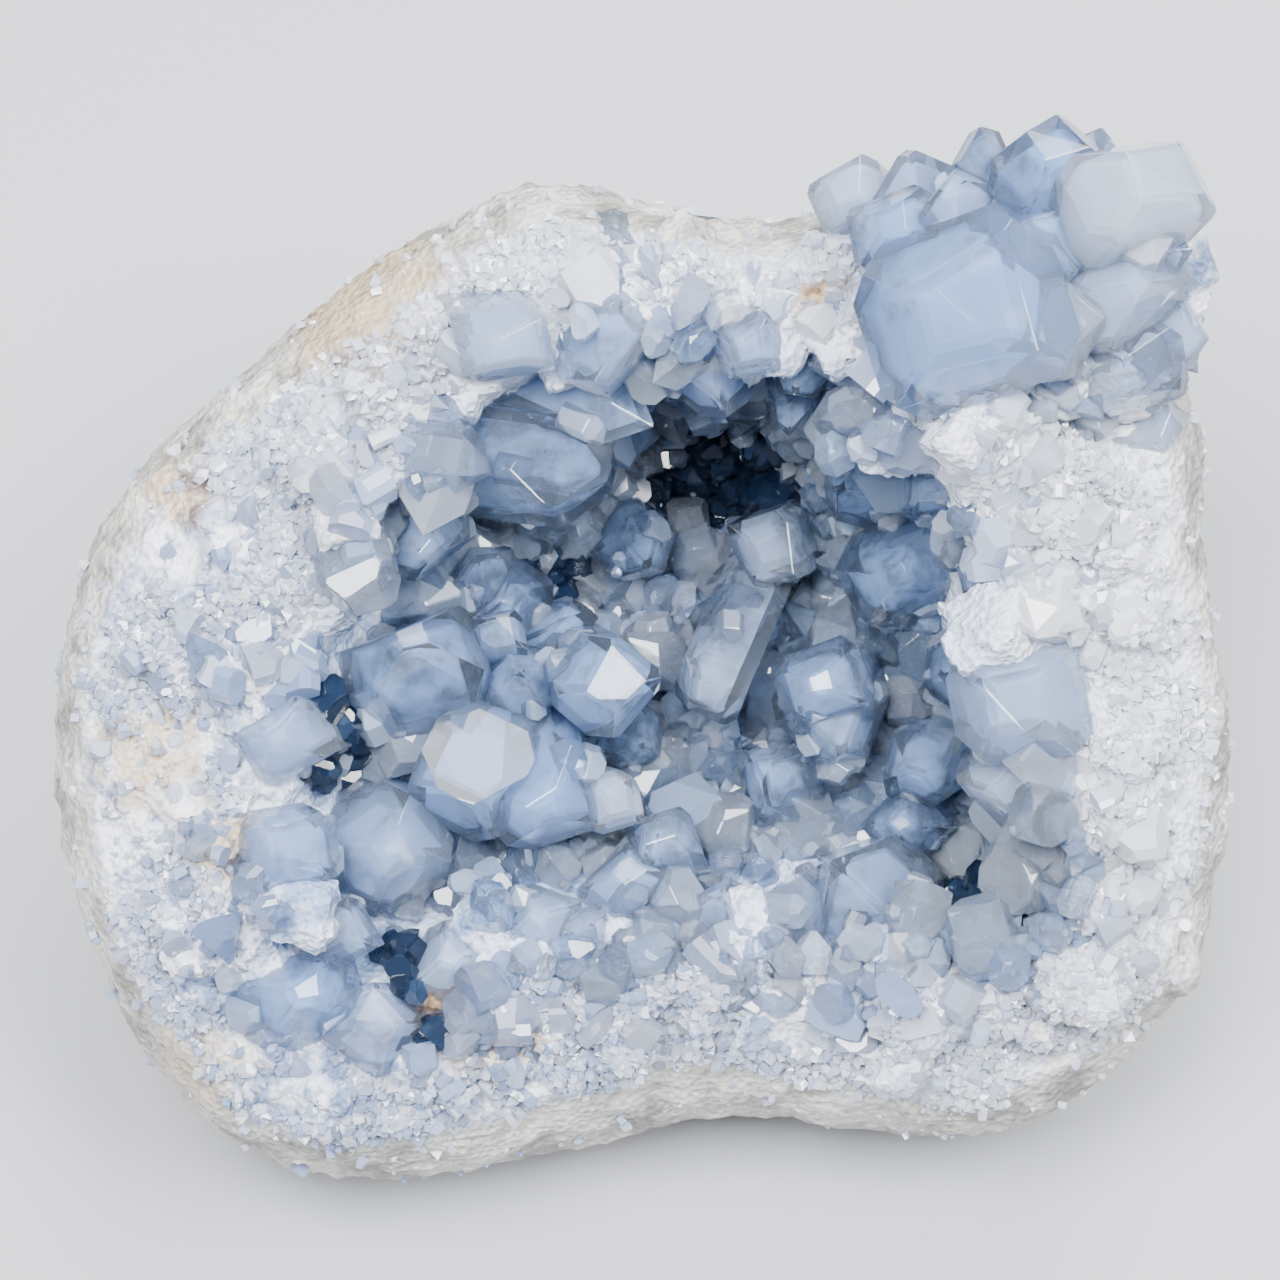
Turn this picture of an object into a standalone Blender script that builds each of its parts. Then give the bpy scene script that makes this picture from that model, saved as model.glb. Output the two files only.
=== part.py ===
"""A celestite geode: a thick pale wall with a broken rim, a hollow lined with one crust of blue
crystals, and a tall crystal cluster on the back right of the rim.

Every form is laid out in the frame of the opening: x runs to the right, u runs up the slope
of the opening towards the back, and b stands straight out of the opening. The opening faces
up and forward. Positions are in millimetres as they look from a point EYE_DISTANCE out along b,
so a point that stands out is drawn in towards the middle by perspective.
"""

import math
import random

import bmesh
import bpy
from mathutils import Matrix, Vector, noise

# Driving dimensions
MM = 0.001
OPENING_TILT = math.radians(28.0)  # from straight up towards the front
EYE_DISTANCE = 469.0
MIDDLE = Vector((0.0, -2.8, 54.0))  # where x = u = b = 0 lies, in millimetres above the ground
BODY_DEPTH = 54.0  # from the widest ring of the wall to its far end
GAP = 0.3  # between nodes that lie against each other
CRUST_THICKNESS = 2.4
CRUST_ROOT = 7.0  # how far the crust's block reaches behind the hollow's wall before it is cut

# Rings of the wall, from the bottom of the hollow over the rim to the far end of the outside
SEGMENTS = 48
LINING_SEGMENTS = 24
HOLLOW_RINGS = 5
RIM_RINGS = 5
SHOULDER_RINGS = 2
OUTSIDE_RINGS = 9
RINGS = HOLLOW_RINGS + RIM_RINGS + SHOULDER_RINGS + OUTSIDE_RINGS

ACROSS = Vector((1.0, 0.0, 0.0))
UP_SLOPE = Vector((0.0, math.cos(OPENING_TILT), math.sin(OPENING_TILT)))
OUT = Vector((0.0, -math.sin(OPENING_TILT), math.cos(OPENING_TILT)))

CENTRE = (2.0, -5.0)  # x, u of the middle that the outlines turn about
DEEPEST = (8.0, 17.0, -33.0)  # x, u, b of the bottom of the hollow

# The widest outline of the wall, x and u
OUTER_OUTLINE = (
    (62, 7), (65, -9), (64, -24), (60, -39), (50, -49), (38, -55), (24, -53.5), (9, -52.5),
    (-8, -56), (-24, -59), (-36, -59.5), (-48, -53.5), (-58, -39), (-62.5, -28), (-64, -15),
    (-63, 2), (-57, 16.5), (-46, 27), (-32, 39), (-21, 46.5), (-10, 50), (4, 47), (15, 46),
    (28, 49), (42, 47), (54, 39), (61, 28), (62, 18),
)

# Where the broken rim drops into the hollow, x and u
INNER_OUTLINE = (
    (41, 0), (45, -9), (49, -20), (48, -31), (40, -36), (28, -36.5), (14, -35), (-2, -35),
    (-16, -35), (-24, -39), (-31, -42.5), (-38, -38), (-42, -29), (-40, -20), (-37, -12),
    (-38, -4), (-33, 8), (-27, 17), (-18, 27), (-6, 33), (8, 35), (19, 33), (29, 25), (37, 12),
)

# By direction from the centre, in degrees: rim height b at its outer and inner edge,
# the width of outer skin that shows outside the rim, and the bulge of the hollow's wall
RIM_STATIONS = (
    (0, 9.0, 12.0, 2.5, 3.0),
    (25, 13.0, 13.0, 3.0, 3.0),
    (45, 19.0, 15.0, 4.0, 3.0),
    (65, 9.0, 11.0, 4.0, 2.0),
    (90, 3.0, 7.0, 4.0, 2.0),
    (135, 1.0, 6.0, 6.0, 4.0),
    (180, 3.0, 6.0, 3.0, 3.0),
    (225, 1.0, 4.0, 4.0, 2.0),
    (270, -2.0, 2.0, 8.0, 2.0),
    (315, 0.0, 5.0, 3.5, 3.0),
)

# Pockets in the hollow's floor: x, u, radius, depth
POCKETS = ((37.0, -28.0, 6.0, 13.0), (-33.0, -10.0, 4.0, 5.0), (-22.0, -37.0, 4.0, 5.0))

# Crystals are rows of x, u, b of the tip, the lean of the axis from straight out, the direction
# it leans towards, length, width, thickness, roll about the axis, and the habit of the end.
BLOCK, CHISEL, POINT, SLAB = "block", "chisel", "point", "slab"

HOLLOW_CRYSTALS = (
    (-26.0, 1.0, 8.0, 24, 100, 24, 16.0, 13.0, 15, BLOCK),
    (-20.0, -17.0, 8.0, 18, 230, 22, 14.0, 12.0, 70, CHISEL),
    (-10.5, -19.5, 9.0, 18, 285, 22, 12.5, 12.0, 20, BLOCK),
    (-3.3, -5.5, 7.0, 12, 330, 22, 10.5, 10.0, 50, SLAB),
    (-2.4, -18.0, 4.0, 20, 350, 14, 7.0, 6.5, 15, SLAB),
    (-13.0, -3.5, 4.0, 12, 80, 18, 8.5, 8.0, 35, POINT),
    (-15.5, 1.5, 2.0, 20, 90, 15, 5.5, 5.0, 10, SLAB),
    (-13.7, 5.5, -2.0, 22, 60, 18, 11.0, 9.0, 60, BLOCK),
    (-18.0, 9.5, -1.0, 28, 110, 16, 8.0, 7.0, 25, POINT),
    (-5.0, 3.0, -6.0, 58, 20, 20, 10.0, 4.0, 60, CHISEL),
    (-23.0, 9.5, 4.0, 28, 300, 18, 11.0, 9.0, 40, BLOCK),
    (-1.5, 18.0, 2.0, 74, 352, 24, 12.5, 10.0, 35, BLOCK),
    (7.0, -7.0, -3.0, 42, 245, 24, 9.0, 8.0, 75, SLAB),
    (13.5, 9.5, -10.0, 16, 215, 18, 8.0, 8.0, 20, SLAB),
    (19.0, -4.5, 3.0, 14, 160, 22, 10.5, 10.0, 20, BLOCK),
    (22.5, -12.5, 2.0, 24, 280, 18, 9.5, 9.0, 55, POINT),
    (27.0, 6.5, 2.0, 20, 210, 22, 13.0, 12.0, 30, BLOCK),
    (21.5, 16.5, -1.0, 28, 190, 18, 8.5, 8.0, 65, POINT),
    (13.5, -16.5, -3.0, 22, 200, 16, 9.0, 8.5, 10, CHISEL),
    (21.0, -24.0, 7.0, 36, 130, 26, 16.0, 13.0, 50, POINT),
    (2.0, -20.5, 1.0, 34, 110, 16, 7.5, 6.5, 15, SLAB),
    (-2.0, -25.0, 3.0, 26, 100, 16, 8.5, 7.5, 45, BLOCK),
    (-5.0, -31.0, 4.0, 22, 60, 12, 5.5, 5.0, 30, POINT),
    (-11.5, -30.0, 3.0, 18, 100, 14, 8.0, 7.0, 70, BLOCK),
    (9.5, -29.0, 2.0, 24, 90, 13, 8.0, 6.5, 30, CHISEL),
    (41.0, -7.0, 15.0, 10, 190, 26, 15.0, 13.0, 10, SLAB),
    (40.5, -17.0, 9.0, 16, 240, 18, 9.0, 8.0, 35, SLAB),
    (30.0, -14.5, 2.0, 22, 200, 18, 9.0, 8.0, 80, CHISEL),
    (33.0, -4.0, 4.0, 26, 190, 18, 8.0, 7.5, 20, POINT),
    (28.0, -20.0, 0.0, 18, 160, 16, 8.0, 7.5, 40, BLOCK),
    (31.0, 16.5, 8.0, 26, 215, 20, 11.0, 10.0, 10, BLOCK),
    (35.5, 5.0, 9.0, 30, 200, 18, 8.5, 8.0, 55, POINT),
    (-41.0, -11.0, 9.0, 14, 200, 18, 9.5, 9.0, 30, BLOCK),
    (9.0, 25.5, 7.0, 52, 285, 24, 13.0, 9.0, 20, CHISEL),
    (-4.0, 28.0, 10.0, 44, 270, 20, 12.0, 9.0, 60, BLOCK),
    (1.5, 23.5, 4.0, 66, 335, 24, 10.0, 4.0, 40, POINT),
    (11.5, 31.5, 11.0, 24, 250, 16, 7.5, 6.5, 15, SLAB),
    (17.0, 27.0, 7.0, 34, 250, 16, 6.0, 5.5, 45, POINT),
    (16.5, 22.5, 4.0, 48, 260, 14, 5.0, 4.5, 20, POINT),
    (21.5, 30.0, 12.0, 30, 230, 16, 7.0, 6.0, 60, BLOCK),
    (-14.5, 31.5, 11.0, 22, 300, 18, 10.0, 8.0, 10, SLAB),
    (-19.5, 22.0, 5.0, 40, 330, 16, 8.0, 7.0, 50, BLOCK),
    (0.5, -12.0, -4.0, 20, 320, 14, 7.0, 6.5, 65, POINT),
    (8.0, 1.5, -9.0, 24, 180, 16, 8.0, 7.0, 30, CHISEL),
    (1.0, 8.0, -12.0, 22, 300, 14, 8.0, 7.0, 50, POINT),
    (-37.5, -38.5, 6.0, 10, 60, 22, 14.0, 12.5, 20, BLOCK),
    (-28.5, -42.0, 5.0, 16, 60, 18, 9.5, 8.5, 55, SLAB),
    (-28.0, -24.5, 6.0, 10, 300, 24, 14.0, 13.0, 35, BLOCK),
    (-38.5, -22.5, 8.0, 14, 40, 20, 11.5, 9.5, 10, SLAB),
    (-21.0, -34.5, 4.0, 18, 80, 18, 9.5, 8.5, 60, BLOCK),
    (-34.0, -32.0, 4.0, 8, 60, 18, 9.0, 8.0, 30, SLAB),
)

RAISED_CRYSTALS = (
    (34.5, 35.5, 34.0, 16, 215, 32, 22.0, 19.0, 20, SLAB),
    (26.5, 46.5, 27.0, 24, 150, 22, 10.0, 9.5, 10, BLOCK),
    (33.5, 50.5, 27.0, 30, 110, 20, 10.0, 8.5, 55, BLOCK),
    (45.0, 55.0, 30.0, 34, 95, 24, 11.0, 10.0, 30, SLAB),
    (57.0, 52.0, 36.0, 24, 50, 28, 14.5, 11.5, 20, SLAB),
    (45.5, 33.5, 31.0, 14, 280, 22, 10.5, 9.5, 60, SLAB),
    (55.5, 29.5, 26.0, 20, 320, 20, 11.0, 9.5, 15, SLAB),
    (55.0, 39.5, 33.0, 10, 20, 24, 13.0, 11.5, 45, BLOCK),
    (43.5, 46.0, 33.0, 12, 100, 24, 11.5, 10.5, 5, BLOCK),
    (62.0, 32.5, 24.0, 44, 350, 20, 9.5, 8.5, 40, BLOCK),
    (61.0, 43.0, 28.0, 40, 10, 20, 9.5, 8.5, 10, POINT),
    (30.0, 21.5, 14.0, 34, 225, 20, 11.0, 9.5, 30, CHISEL),
    (39.5, 22.5, 20.0, 28, 250, 20, 10.0, 9.0, 70, BLOCK),
    (49.5, 22.0, 19.0, 26, 290, 20, 10.0, 9.0, 20, POINT),
    (37.5, 56.5, 25.0, 40, 100, 17, 5.5, 5.0, 35, POINT),
    (59.0, 22.5, 16.0, 38, 330, 18, 9.0, 8.0, 45, BLOCK),
    (21.5, 50.0, 14.0, 30, 150, 18, 9.0, 6.5, 20, SLAB),
    (29.0, 54.0, 16.0, 58, 105, 20, 10.0, 8.0, 60, BLOCK),
    (51.0, 56.0, 18.0, 66, 80, 22, 11.0, 9.0, 15, CHISEL),
    (62.5, 50.5, 17.0, 70, 35, 22, 11.0, 9.0, 50, BLOCK),
)

# Each habit cuts a square post. A side cut has a direction round the axis and a share of the
# width. An end cut has a direction, a slope from the axis, and the height above the tip, in
# widths, at which its plane crosses the axis.
SIDE_CUTS = ((39, 0.53), (219, 0.54), (141, 0.55), (321, 0.56))
END_CUTS = {
    BLOCK: ((0, 50, 0.06), (180, 46, 0.0), (92, 57, 0.04), (268, 54, 0.08), (20, 9, -0.10)),
    CHISEL: ((0, 54, 0.0), (180, 50, 0.02), (90, 36, 0.10), (270, 42, 0.16)),
    POINT: ((44, 56, 0.0), (136, 60, 0.03), (224, 57, 0.02), (316, 61, 0.0)),
    SLAB: ((30, 14, 0.0), (0, 52, 0.34), (180, 55, 0.26), (90, 58, 0.36), (262, 50, 0.30)),
}
HABITS = tuple(END_CUTS)

LARGE = 10.0  # crystals wider than this have all four edges cut, smaller ones two
FILL_SPACING = 11.0  # millimetres between the roots of the smaller crystals
FILL_HEIGHT = 6.0  # how far their tips stand off the hollow's wall
CHIP_SPACING = 10.5
FILL_TRIES = 600
EVEN_STEPS = (0.5698, 0.7549)  # shares of the two ranges that spread points evenly over both


def spot(x, u, b):
    """The point in metres that is seen at x, u and stands b out of the opening."""
    near = 1.0 - b / EYE_DISTANCE
    place = MIDDLE + ACROSS * (x * near) + UP_SLOPE * (u * near) + OUT * b
    return place * MM


def ring_value(stations, angle):
    """Smooth closed interpolation through (angle, value) stations sorted by angle, in radians."""
    count = len(stations)
    angle %= math.tau
    after = next((i for i, s in enumerate(stations) if s[0] > angle), count)
    a0, v0 = stations[after - 1]
    a1, v1 = stations[after % count]
    before = stations[after - 2][1]
    beyond = stations[(after + 1) % count][1]
    span = (a1 - a0) % math.tau
    t = ((angle - a0) % math.tau) / span
    slope0, slope1 = (v1 - before) / 2, (beyond - v0) / 2
    return (
        (2 * t**3 - 3 * t**2 + 1) * v0
        + (t**3 - 2 * t**2 + t) * slope0
        + (3 * t**2 - 2 * t**3) * v1
        + (t**3 - t**2) * slope1
    )


def polar(outline):
    """The outline as sorted (angle, radius) stations about CENTRE."""
    places = [(x - CENTRE[0], u - CENTRE[1]) for x, u in outline]
    return sorted((math.atan2(u, x) % math.tau, math.hypot(x, u)) for x, u in places)


def station_column(column):
    return [(math.radians(row[0]), row[column]) for row in RIM_STATIONS]


OUTER_RADIUS = polar(OUTER_OUTLINE)
INNER_RADIUS = polar(INNER_OUTLINE)
OUTER_HEIGHT, INNER_HEIGHT, SKIN_WIDTH, WALL_BULGE = (station_column(c) for c in (1, 2, 3, 4))


def lump(x, u, b, size, seed):
    """Smooth noise from about -1 to 1 whose bumps are size millimetres wide."""
    return noise.noise(Vector((x, u, b)) / size + Vector((seed, 2.3 * seed, -seed)))


def hollow_place(angle, depth):
    """x, u, b on the hollow's wall: depth 0 at the rim's inner edge, 1 at the bottom."""
    radius = ring_value(INNER_RADIUS, angle)
    top = ring_value(INNER_HEIGHT, angle)
    bulge = ring_value(WALL_BULGE, angle) * math.sin(math.pi * depth)
    across, up = math.cos(angle), math.sin(angle)
    x = (CENTRE[0] + radius * across) * (1 - depth) + DEEPEST[0] * depth + bulge * across
    u = (CENTRE[1] + radius * up) * (1 - depth) + DEEPEST[1] * depth + bulge * up
    fall = depth**0.85
    b = top * (1 - fall) + DEEPEST[2] * fall
    for px, pu, size, drop in POCKETS:
        b -= drop * math.exp(-((x - px) ** 2 + (u - pu) ** 2) / (2 * size**2)) * min(1, 6 * depth)
    return x, u, b


def hollow_normal(angle, depth):
    """The unit direction, in x, u, b, that the hollow's wall faces there."""
    step = 0.02
    down = Vector(hollow_place(angle, min(depth + step, 0.99))) - Vector(hollow_place(angle, depth - step))
    along = Vector(hollow_place(angle + step, depth)) - Vector(hollow_place(angle - step, depth))
    return along.cross(down).normalized()


def rim_place(angle, share):
    """x, u, b on the broken rim: share 0 at its inner edge, 1 at its outer edge."""
    inner = ring_value(INNER_RADIUS, angle)
    outer = ring_value(OUTER_RADIUS, angle) - ring_value(SKIN_WIDTH, angle)
    radius = inner + (outer - inner) * share
    x = CENTRE[0] + radius * math.cos(angle)
    u = CENTRE[1] + radius * math.sin(angle)
    b = ring_value(INNER_HEIGHT, angle) * (1 - share) + ring_value(OUTER_HEIGHT, angle) * share
    middle = math.sin(math.pi * share)
    b += middle * (1.0 + 3.0 * lump(x, u, 0, 9.0, 4.0) + 3.5 * lump(x, u, 0, 3.7, 8.0))
    return x, u, b


def outside_place(angle, shoulder, turn):
    """x, u, b on the outside. shoulder runs from 0 at the rim to 1 at the widest ring, and turn
    from there to the far end, as a quarter circle in radians."""
    outer = ring_value(OUTER_RADIUS, angle)
    skin = ring_value(SKIN_WIDTH, angle)
    edge = ring_value(OUTER_HEIGHT, angle)
    widest = edge - 1.2 * skin - 3.0
    radius = outer - skin * (1 - math.sin(shoulder * math.pi / 2))
    b = widest + (edge - widest) * math.cos(shoulder * math.pi / 2)
    radius *= math.cos(turn)
    share = math.sin(turn)
    b -= (BODY_DEPTH + widest) * share
    x = CENTRE[0] * (1 - share) + radius * math.cos(angle)
    u = CENTRE[1] * (1 - share) + radius * math.sin(angle)
    swell = 1.8 * lump(x, u, b, 24.0, 1.0) + 0.8 * lump(x, u, b, 9.0, 7.0)
    swell *= math.sin(turn) ** 0.5 if turn > 0 else 0.0
    stretch = 1.0 + swell / 40.0
    return x * stretch, u * stretch, b * stretch


def wall_place(angle, ring):
    """x, u, b of ring number ring, from the bottom of the hollow to the far end outside."""
    if ring <= HOLLOW_RINGS:
        return hollow_place(angle, 1 - ring / HOLLOW_RINGS)
    ring -= HOLLOW_RINGS
    if ring <= RIM_RINGS:
        return rim_place(angle, ring / RIM_RINGS)
    ring -= RIM_RINGS
    if ring <= SHOULDER_RINGS:
        return outside_place(angle, ring / SHOULDER_RINGS, 0.0)
    ring -= SHOULDER_RINGS
    return outside_place(angle, 1.0, ring / OUTSIDE_RINGS * math.pi / 2)


def collection(name, shown):
    made = bpy.data.collections.new(name)
    bpy.context.scene.collection.children.link(made)
    made.hide_render = not shown
    return made


def object_from(bm, name, home):
    mesh = bpy.data.meshes.new(name)
    bm.to_mesh(mesh)
    bm.free()
    made = bpy.data.objects.new(name, mesh)
    home.objects.link(made)
    if home.hide_render:
        made.hide_render = True
        made.display_type = "WIRE"
    return made


def ringed_sphere(segments=SEGMENTS):
    """A sphere whose rings become those of the wall, with each vertex's angle and ring."""
    bm = bmesh.new()
    bmesh.ops.create_uvsphere(bm, u_segments=segments, v_segments=RINGS, radius=1.0)
    bmesh.ops.triangulate(bm, faces=bm.faces, quad_method="FIXED")
    rows = {}
    for vertex in bm.verts:
        ring = round(math.acos(max(-1.0, min(1.0, vertex.co.z))) / math.pi * RINGS)
        rows[vertex] = (math.atan2(vertex.co.y, vertex.co.x) % math.tau, ring)
    return bm, rows


def wall_body(name, home, grow=0.0):
    """The stone wall as one closed body, cut flat where it rests. grow swells it all over."""
    bm, rows = ringed_sphere()
    for vertex, (angle, ring) in rows.items():
        vertex.co = spot(*wall_place(angle, ring))
    if grow:
        bm.normal_update()
        moves = {vertex: vertex.normal * grow * MM for vertex in bm.verts}
        for vertex, move in moves.items():
            vertex.co += move
    cut = bmesh.ops.bisect_plane(
        bm,
        geom=bm.verts[:] + bm.edges[:] + bm.faces[:],
        plane_co=(0, 0, -grow * MM),
        plane_no=(0, 0, 1),
        clear_inner=True,
    )
    edges = [e for e in cut["geom_cut"] if isinstance(e, bmesh.types.BMEdge)]
    bmesh.ops.edgeloop_fill(bm, edges=edges)
    return object_from(bm, name, home)


def crust_lining(name, home):
    """The block that the hollow's crystals grow from: a bowl a little smaller than the hollow,
    thick enough to reach well into the stone, which then cuts its back."""
    bm, rows = ringed_sphere(LINING_SEGMENTS)
    beyond = [vertex for vertex, (_, ring) in rows.items() if ring > HOLLOW_RINGS]
    bmesh.ops.delete(bm, geom=beyond, context="VERTS")
    kept = {vertex: rows[vertex] for vertex in bm.verts}
    for vertex, (angle, ring) in kept.items():
        depth = max(1 - ring / HOLLOW_RINGS, 0.05)
        place, way = hollow_place(angle, depth), hollow_normal(angle, depth)
        vertex.co = spot(*(p + (GAP + CRUST_THICKNESS) * w for p, w in zip(place, way)))
    made = object_from(bm, name, home)
    shell = made.modifiers.new("thickness", "SOLIDIFY")
    shell.thickness = (CRUST_THICKNESS + CRUST_ROOT) * MM
    shell.offset = -1.0
    return made


def post_axes(lean, toward, roll):
    """The crystal's own frame: its axis points from its root to its tip."""
    lean, toward, roll = (math.radians(a) for a in (lean, toward, roll))
    aside = ACROSS * math.cos(toward) + UP_SLOPE * math.sin(toward)
    axis = OUT * math.cos(lean) + aside * math.sin(lean)
    side = (ACROSS - axis * ACROSS.dot(axis)).normalized()
    side = Matrix.Rotation(roll, 3, axis) @ side
    return Matrix((side, axis.cross(side), axis)).transposed()


def slice_off(bm, direction, distance):
    """Cuts away what lies past a plane, and closes the cut."""
    cut = bmesh.ops.bisect_plane(
        bm,
        geom=bm.verts[:] + bm.edges[:] + bm.faces[:],
        plane_co=direction * distance,
        plane_no=direction,
        clear_outer=True,
    )
    edges = [e for e in cut["geom_cut"] if isinstance(e, bmesh.types.BMEdge)]
    if edges:
        bmesh.ops.edgeloop_fill(bm, edges=edges)


def cut_post(habit, size, chance, grow, side_cuts):
    """A crystal in its own frame, tip at the origin, as a square post cut by flat faces.
    grow moves every face out, in millimetres."""
    length, width, thickness = size
    bm = bmesh.new()
    bmesh.ops.create_cube(bm, size=1.0)
    bmesh.ops.scale(
        bm, verts=bm.verts, vec=(width + 2 * grow, thickness + 2 * grow, length + 2 * grow)
    )
    bmesh.ops.translate(bm, verts=bm.verts, vec=(0, 0, -length / 2))
    cuts = []
    for turn, share in SIDE_CUTS[:side_cuts]:
        cuts.append((turn + chance.uniform(-5, 5), 90, share + chance.uniform(-0.05, 0.05)))
    for turn, slope, crossing in END_CUTS[habit]:
        slope += chance.uniform(-5, 5)
        reach = (crossing + chance.uniform(-0.04, 0.04)) * math.cos(math.radians(slope))
        cuts.append((turn + chance.uniform(-8, 8), slope, reach))
    for turn, slope, reach in cuts:
        turn, slope = math.radians(turn), math.radians(slope)
        normal = Vector((math.cos(turn) * math.sin(slope), math.sin(turn) * math.sin(slope), math.cos(slope)))
        normal = Vector((normal.x / width, normal.y / thickness, normal.z / width))
        slice_off(bm, normal.normalized(), reach / normal.length + grow)
    bmesh.ops.scale(bm, verts=bm.verts, vec=(MM, MM, MM))
    return bm


def crystal(row, name, home, seed, grow=0.0, side_cuts=None):
    """One crystal of a row of the tables, set in its place."""
    x, u, b, lean, toward, length, width, thickness, roll, habit = row
    if side_cuts is None:
        side_cuts = 4 if width > LARGE else 2
    size = (length, width, thickness)
    bm = cut_post(habit, size, random.Random(seed), grow, side_cuts)
    place = post_axes(lean, toward, roll).to_4x4()
    place.translation = spot(x, u, b)
    bmesh.ops.transform(bm, matrix=place, verts=bm.verts)
    return object_from(bm, name, home)


def covered(tip):
    """Whether a tip lies inside one of the hollow's large crystals."""
    for x, u, b, lean, toward, length, width, *_ in HOLLOW_CRYSTALS:
        lean, toward = math.radians(lean), math.radians(toward)
        aside = math.sin(lean)
        axis = Vector((aside * math.cos(toward), aside * math.sin(toward), math.cos(lean)))
        below = (Vector((x, u, b)) - tip).dot(axis)
        beside = (Vector((x, u, b)) - tip - axis * below).length
        if -0.1 * width < below < length and beside < 0.42 * width:
            return True
    return False


def even_places(tries, spacing, reach, place):
    """Pairs of an angle and a share within reach whose places stand at least spacing apart."""
    kept = []
    for number in range(tries):
        angle = math.tau * ((number * EVEN_STEPS[0]) % 1.0)
        share = reach[0] + (reach[1] - reach[0]) * ((number * EVEN_STEPS[1]) % 1.0)
        here = place(angle, share)
        if here and all((Vector(here) - there).length > spacing for there in kept):
            kept.append(Vector(here))
            yield angle, share


def fill_rows():
    """Smaller crystals that cover the hollow's wall between the large ones, standing off it."""
    chance = random.Random(5)

    def open_place(angle, depth):
        place = Vector(hollow_place(angle, depth))
        return None if covered(place + hollow_normal(angle, depth) * FILL_HEIGHT) else place

    for angle, depth in even_places(FILL_TRIES, FILL_SPACING, (0.05, 0.97), open_place):
        way = hollow_normal(angle, depth)
        tip = Vector(hollow_place(angle, depth)) + way * (FILL_HEIGHT + chance.uniform(-1.5, 2.5))
        shake = [chance.uniform(-0.35, 0.35) for _ in range(3)]
        axis = (way + Vector((0.0, 0.0, 0.5)) + Vector(shake)).normalized()
        lean = math.degrees(math.acos(axis.z))
        toward = math.degrees(math.atan2(axis.y, axis.x))
        width = chance.uniform(7.5, 12.0)
        roll, habit = chance.uniform(0, 90), chance.choice(HABITS)
        yield *tip, lean, toward, 14.0, width, width * 0.85, roll, habit


def chip_rows():
    """Angular blocks of the broken rim, sunk in it so that only their tops stand out."""
    chance = random.Random(9)
    for angle, share in even_places(FILL_TRIES, CHIP_SPACING, (0.05, 0.74), rim_place):
        x, u, b = rim_place(angle, share)
        width = chance.uniform(8.0, 14.0)
        lean, toward, roll = chance.uniform(0, 28), chance.uniform(0, 360), chance.uniform(0, 90)
        habit = chance.choice((BLOCK, SLAB, CHISEL))
        rise = chance.uniform(1.2, 2.8)
        yield x, u, b + rise, lean, toward, 8.0, width, width * 0.75, roll, habit


def raised_core(name, home, grow=0.0):
    """The rough lump that the tall cluster's crystals grow from."""
    bm = bmesh.new()
    bmesh.ops.create_icosphere(bm, subdivisions=2, radius=1.0)
    for vertex in bm.verts:
        way = vertex.co.copy()
        reach = 1.0 + 0.25 * lump(way.x, way.y, way.z, 0.5, 3.0)
        x = 46.0 + (15.5 * reach + grow) * way.x
        u = 37.0 + (14.0 * reach + grow) * way.y
        b = 15.0 + (12.0 * reach + grow) * way.z
        vertex.co = spot(x, u, b)
    return object_from(bm, name, home)


def boolean(target, operation, others):
    """Joins or cuts target with every object of a collection, and makes the result its mesh."""
    step = target.modifiers.new(operation.lower(), "BOOLEAN")
    step.operation = operation
    step.operand_type = "COLLECTION"
    step.collection = others
    step.solver = "EXACT"
    graph = bpy.context.evaluated_depsgraph_get()
    made = bpy.data.meshes.new_from_object(target.evaluated_get(graph))
    target.modifiers.clear()
    target.data = made


def largest_body(target):
    """Drops crumbs that the cuts left apart from the main body."""
    bm = bmesh.new()
    bm.from_mesh(target.data)
    bm.verts.ensure_lookup_table()
    unseen = set(bm.verts)
    bodies = []
    while unseen:
        body, front = set(), [unseen.pop()]
        while front:
            vertex = front.pop()
            body.add(vertex)
            for edge in vertex.link_edges:
                other = edge.other_vert(vertex)
                if other in unseen:
                    unseen.discard(other)
                    front.append(other)
        bodies.append(body)
    bodies.sort(key=len)
    for crumb in bodies[:-1]:
        bmesh.ops.delete(bm, geom=list(crumb), context="VERTS")
    bm.to_mesh(target.data)
    bm.free()


def finish(target, name, colour, roughness):
    material = bpy.data.materials.new(name)
    material.use_nodes = True
    surface = material.node_tree.nodes["Principled BSDF"]
    surface.inputs["Base Color"].default_value = (*colour, 1.0)
    surface.inputs["Roughness"].default_value = roughness
    surface.inputs["Metallic"].default_value = 0.0
    target.data.materials.clear()
    target.data.materials.append(material)


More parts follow.
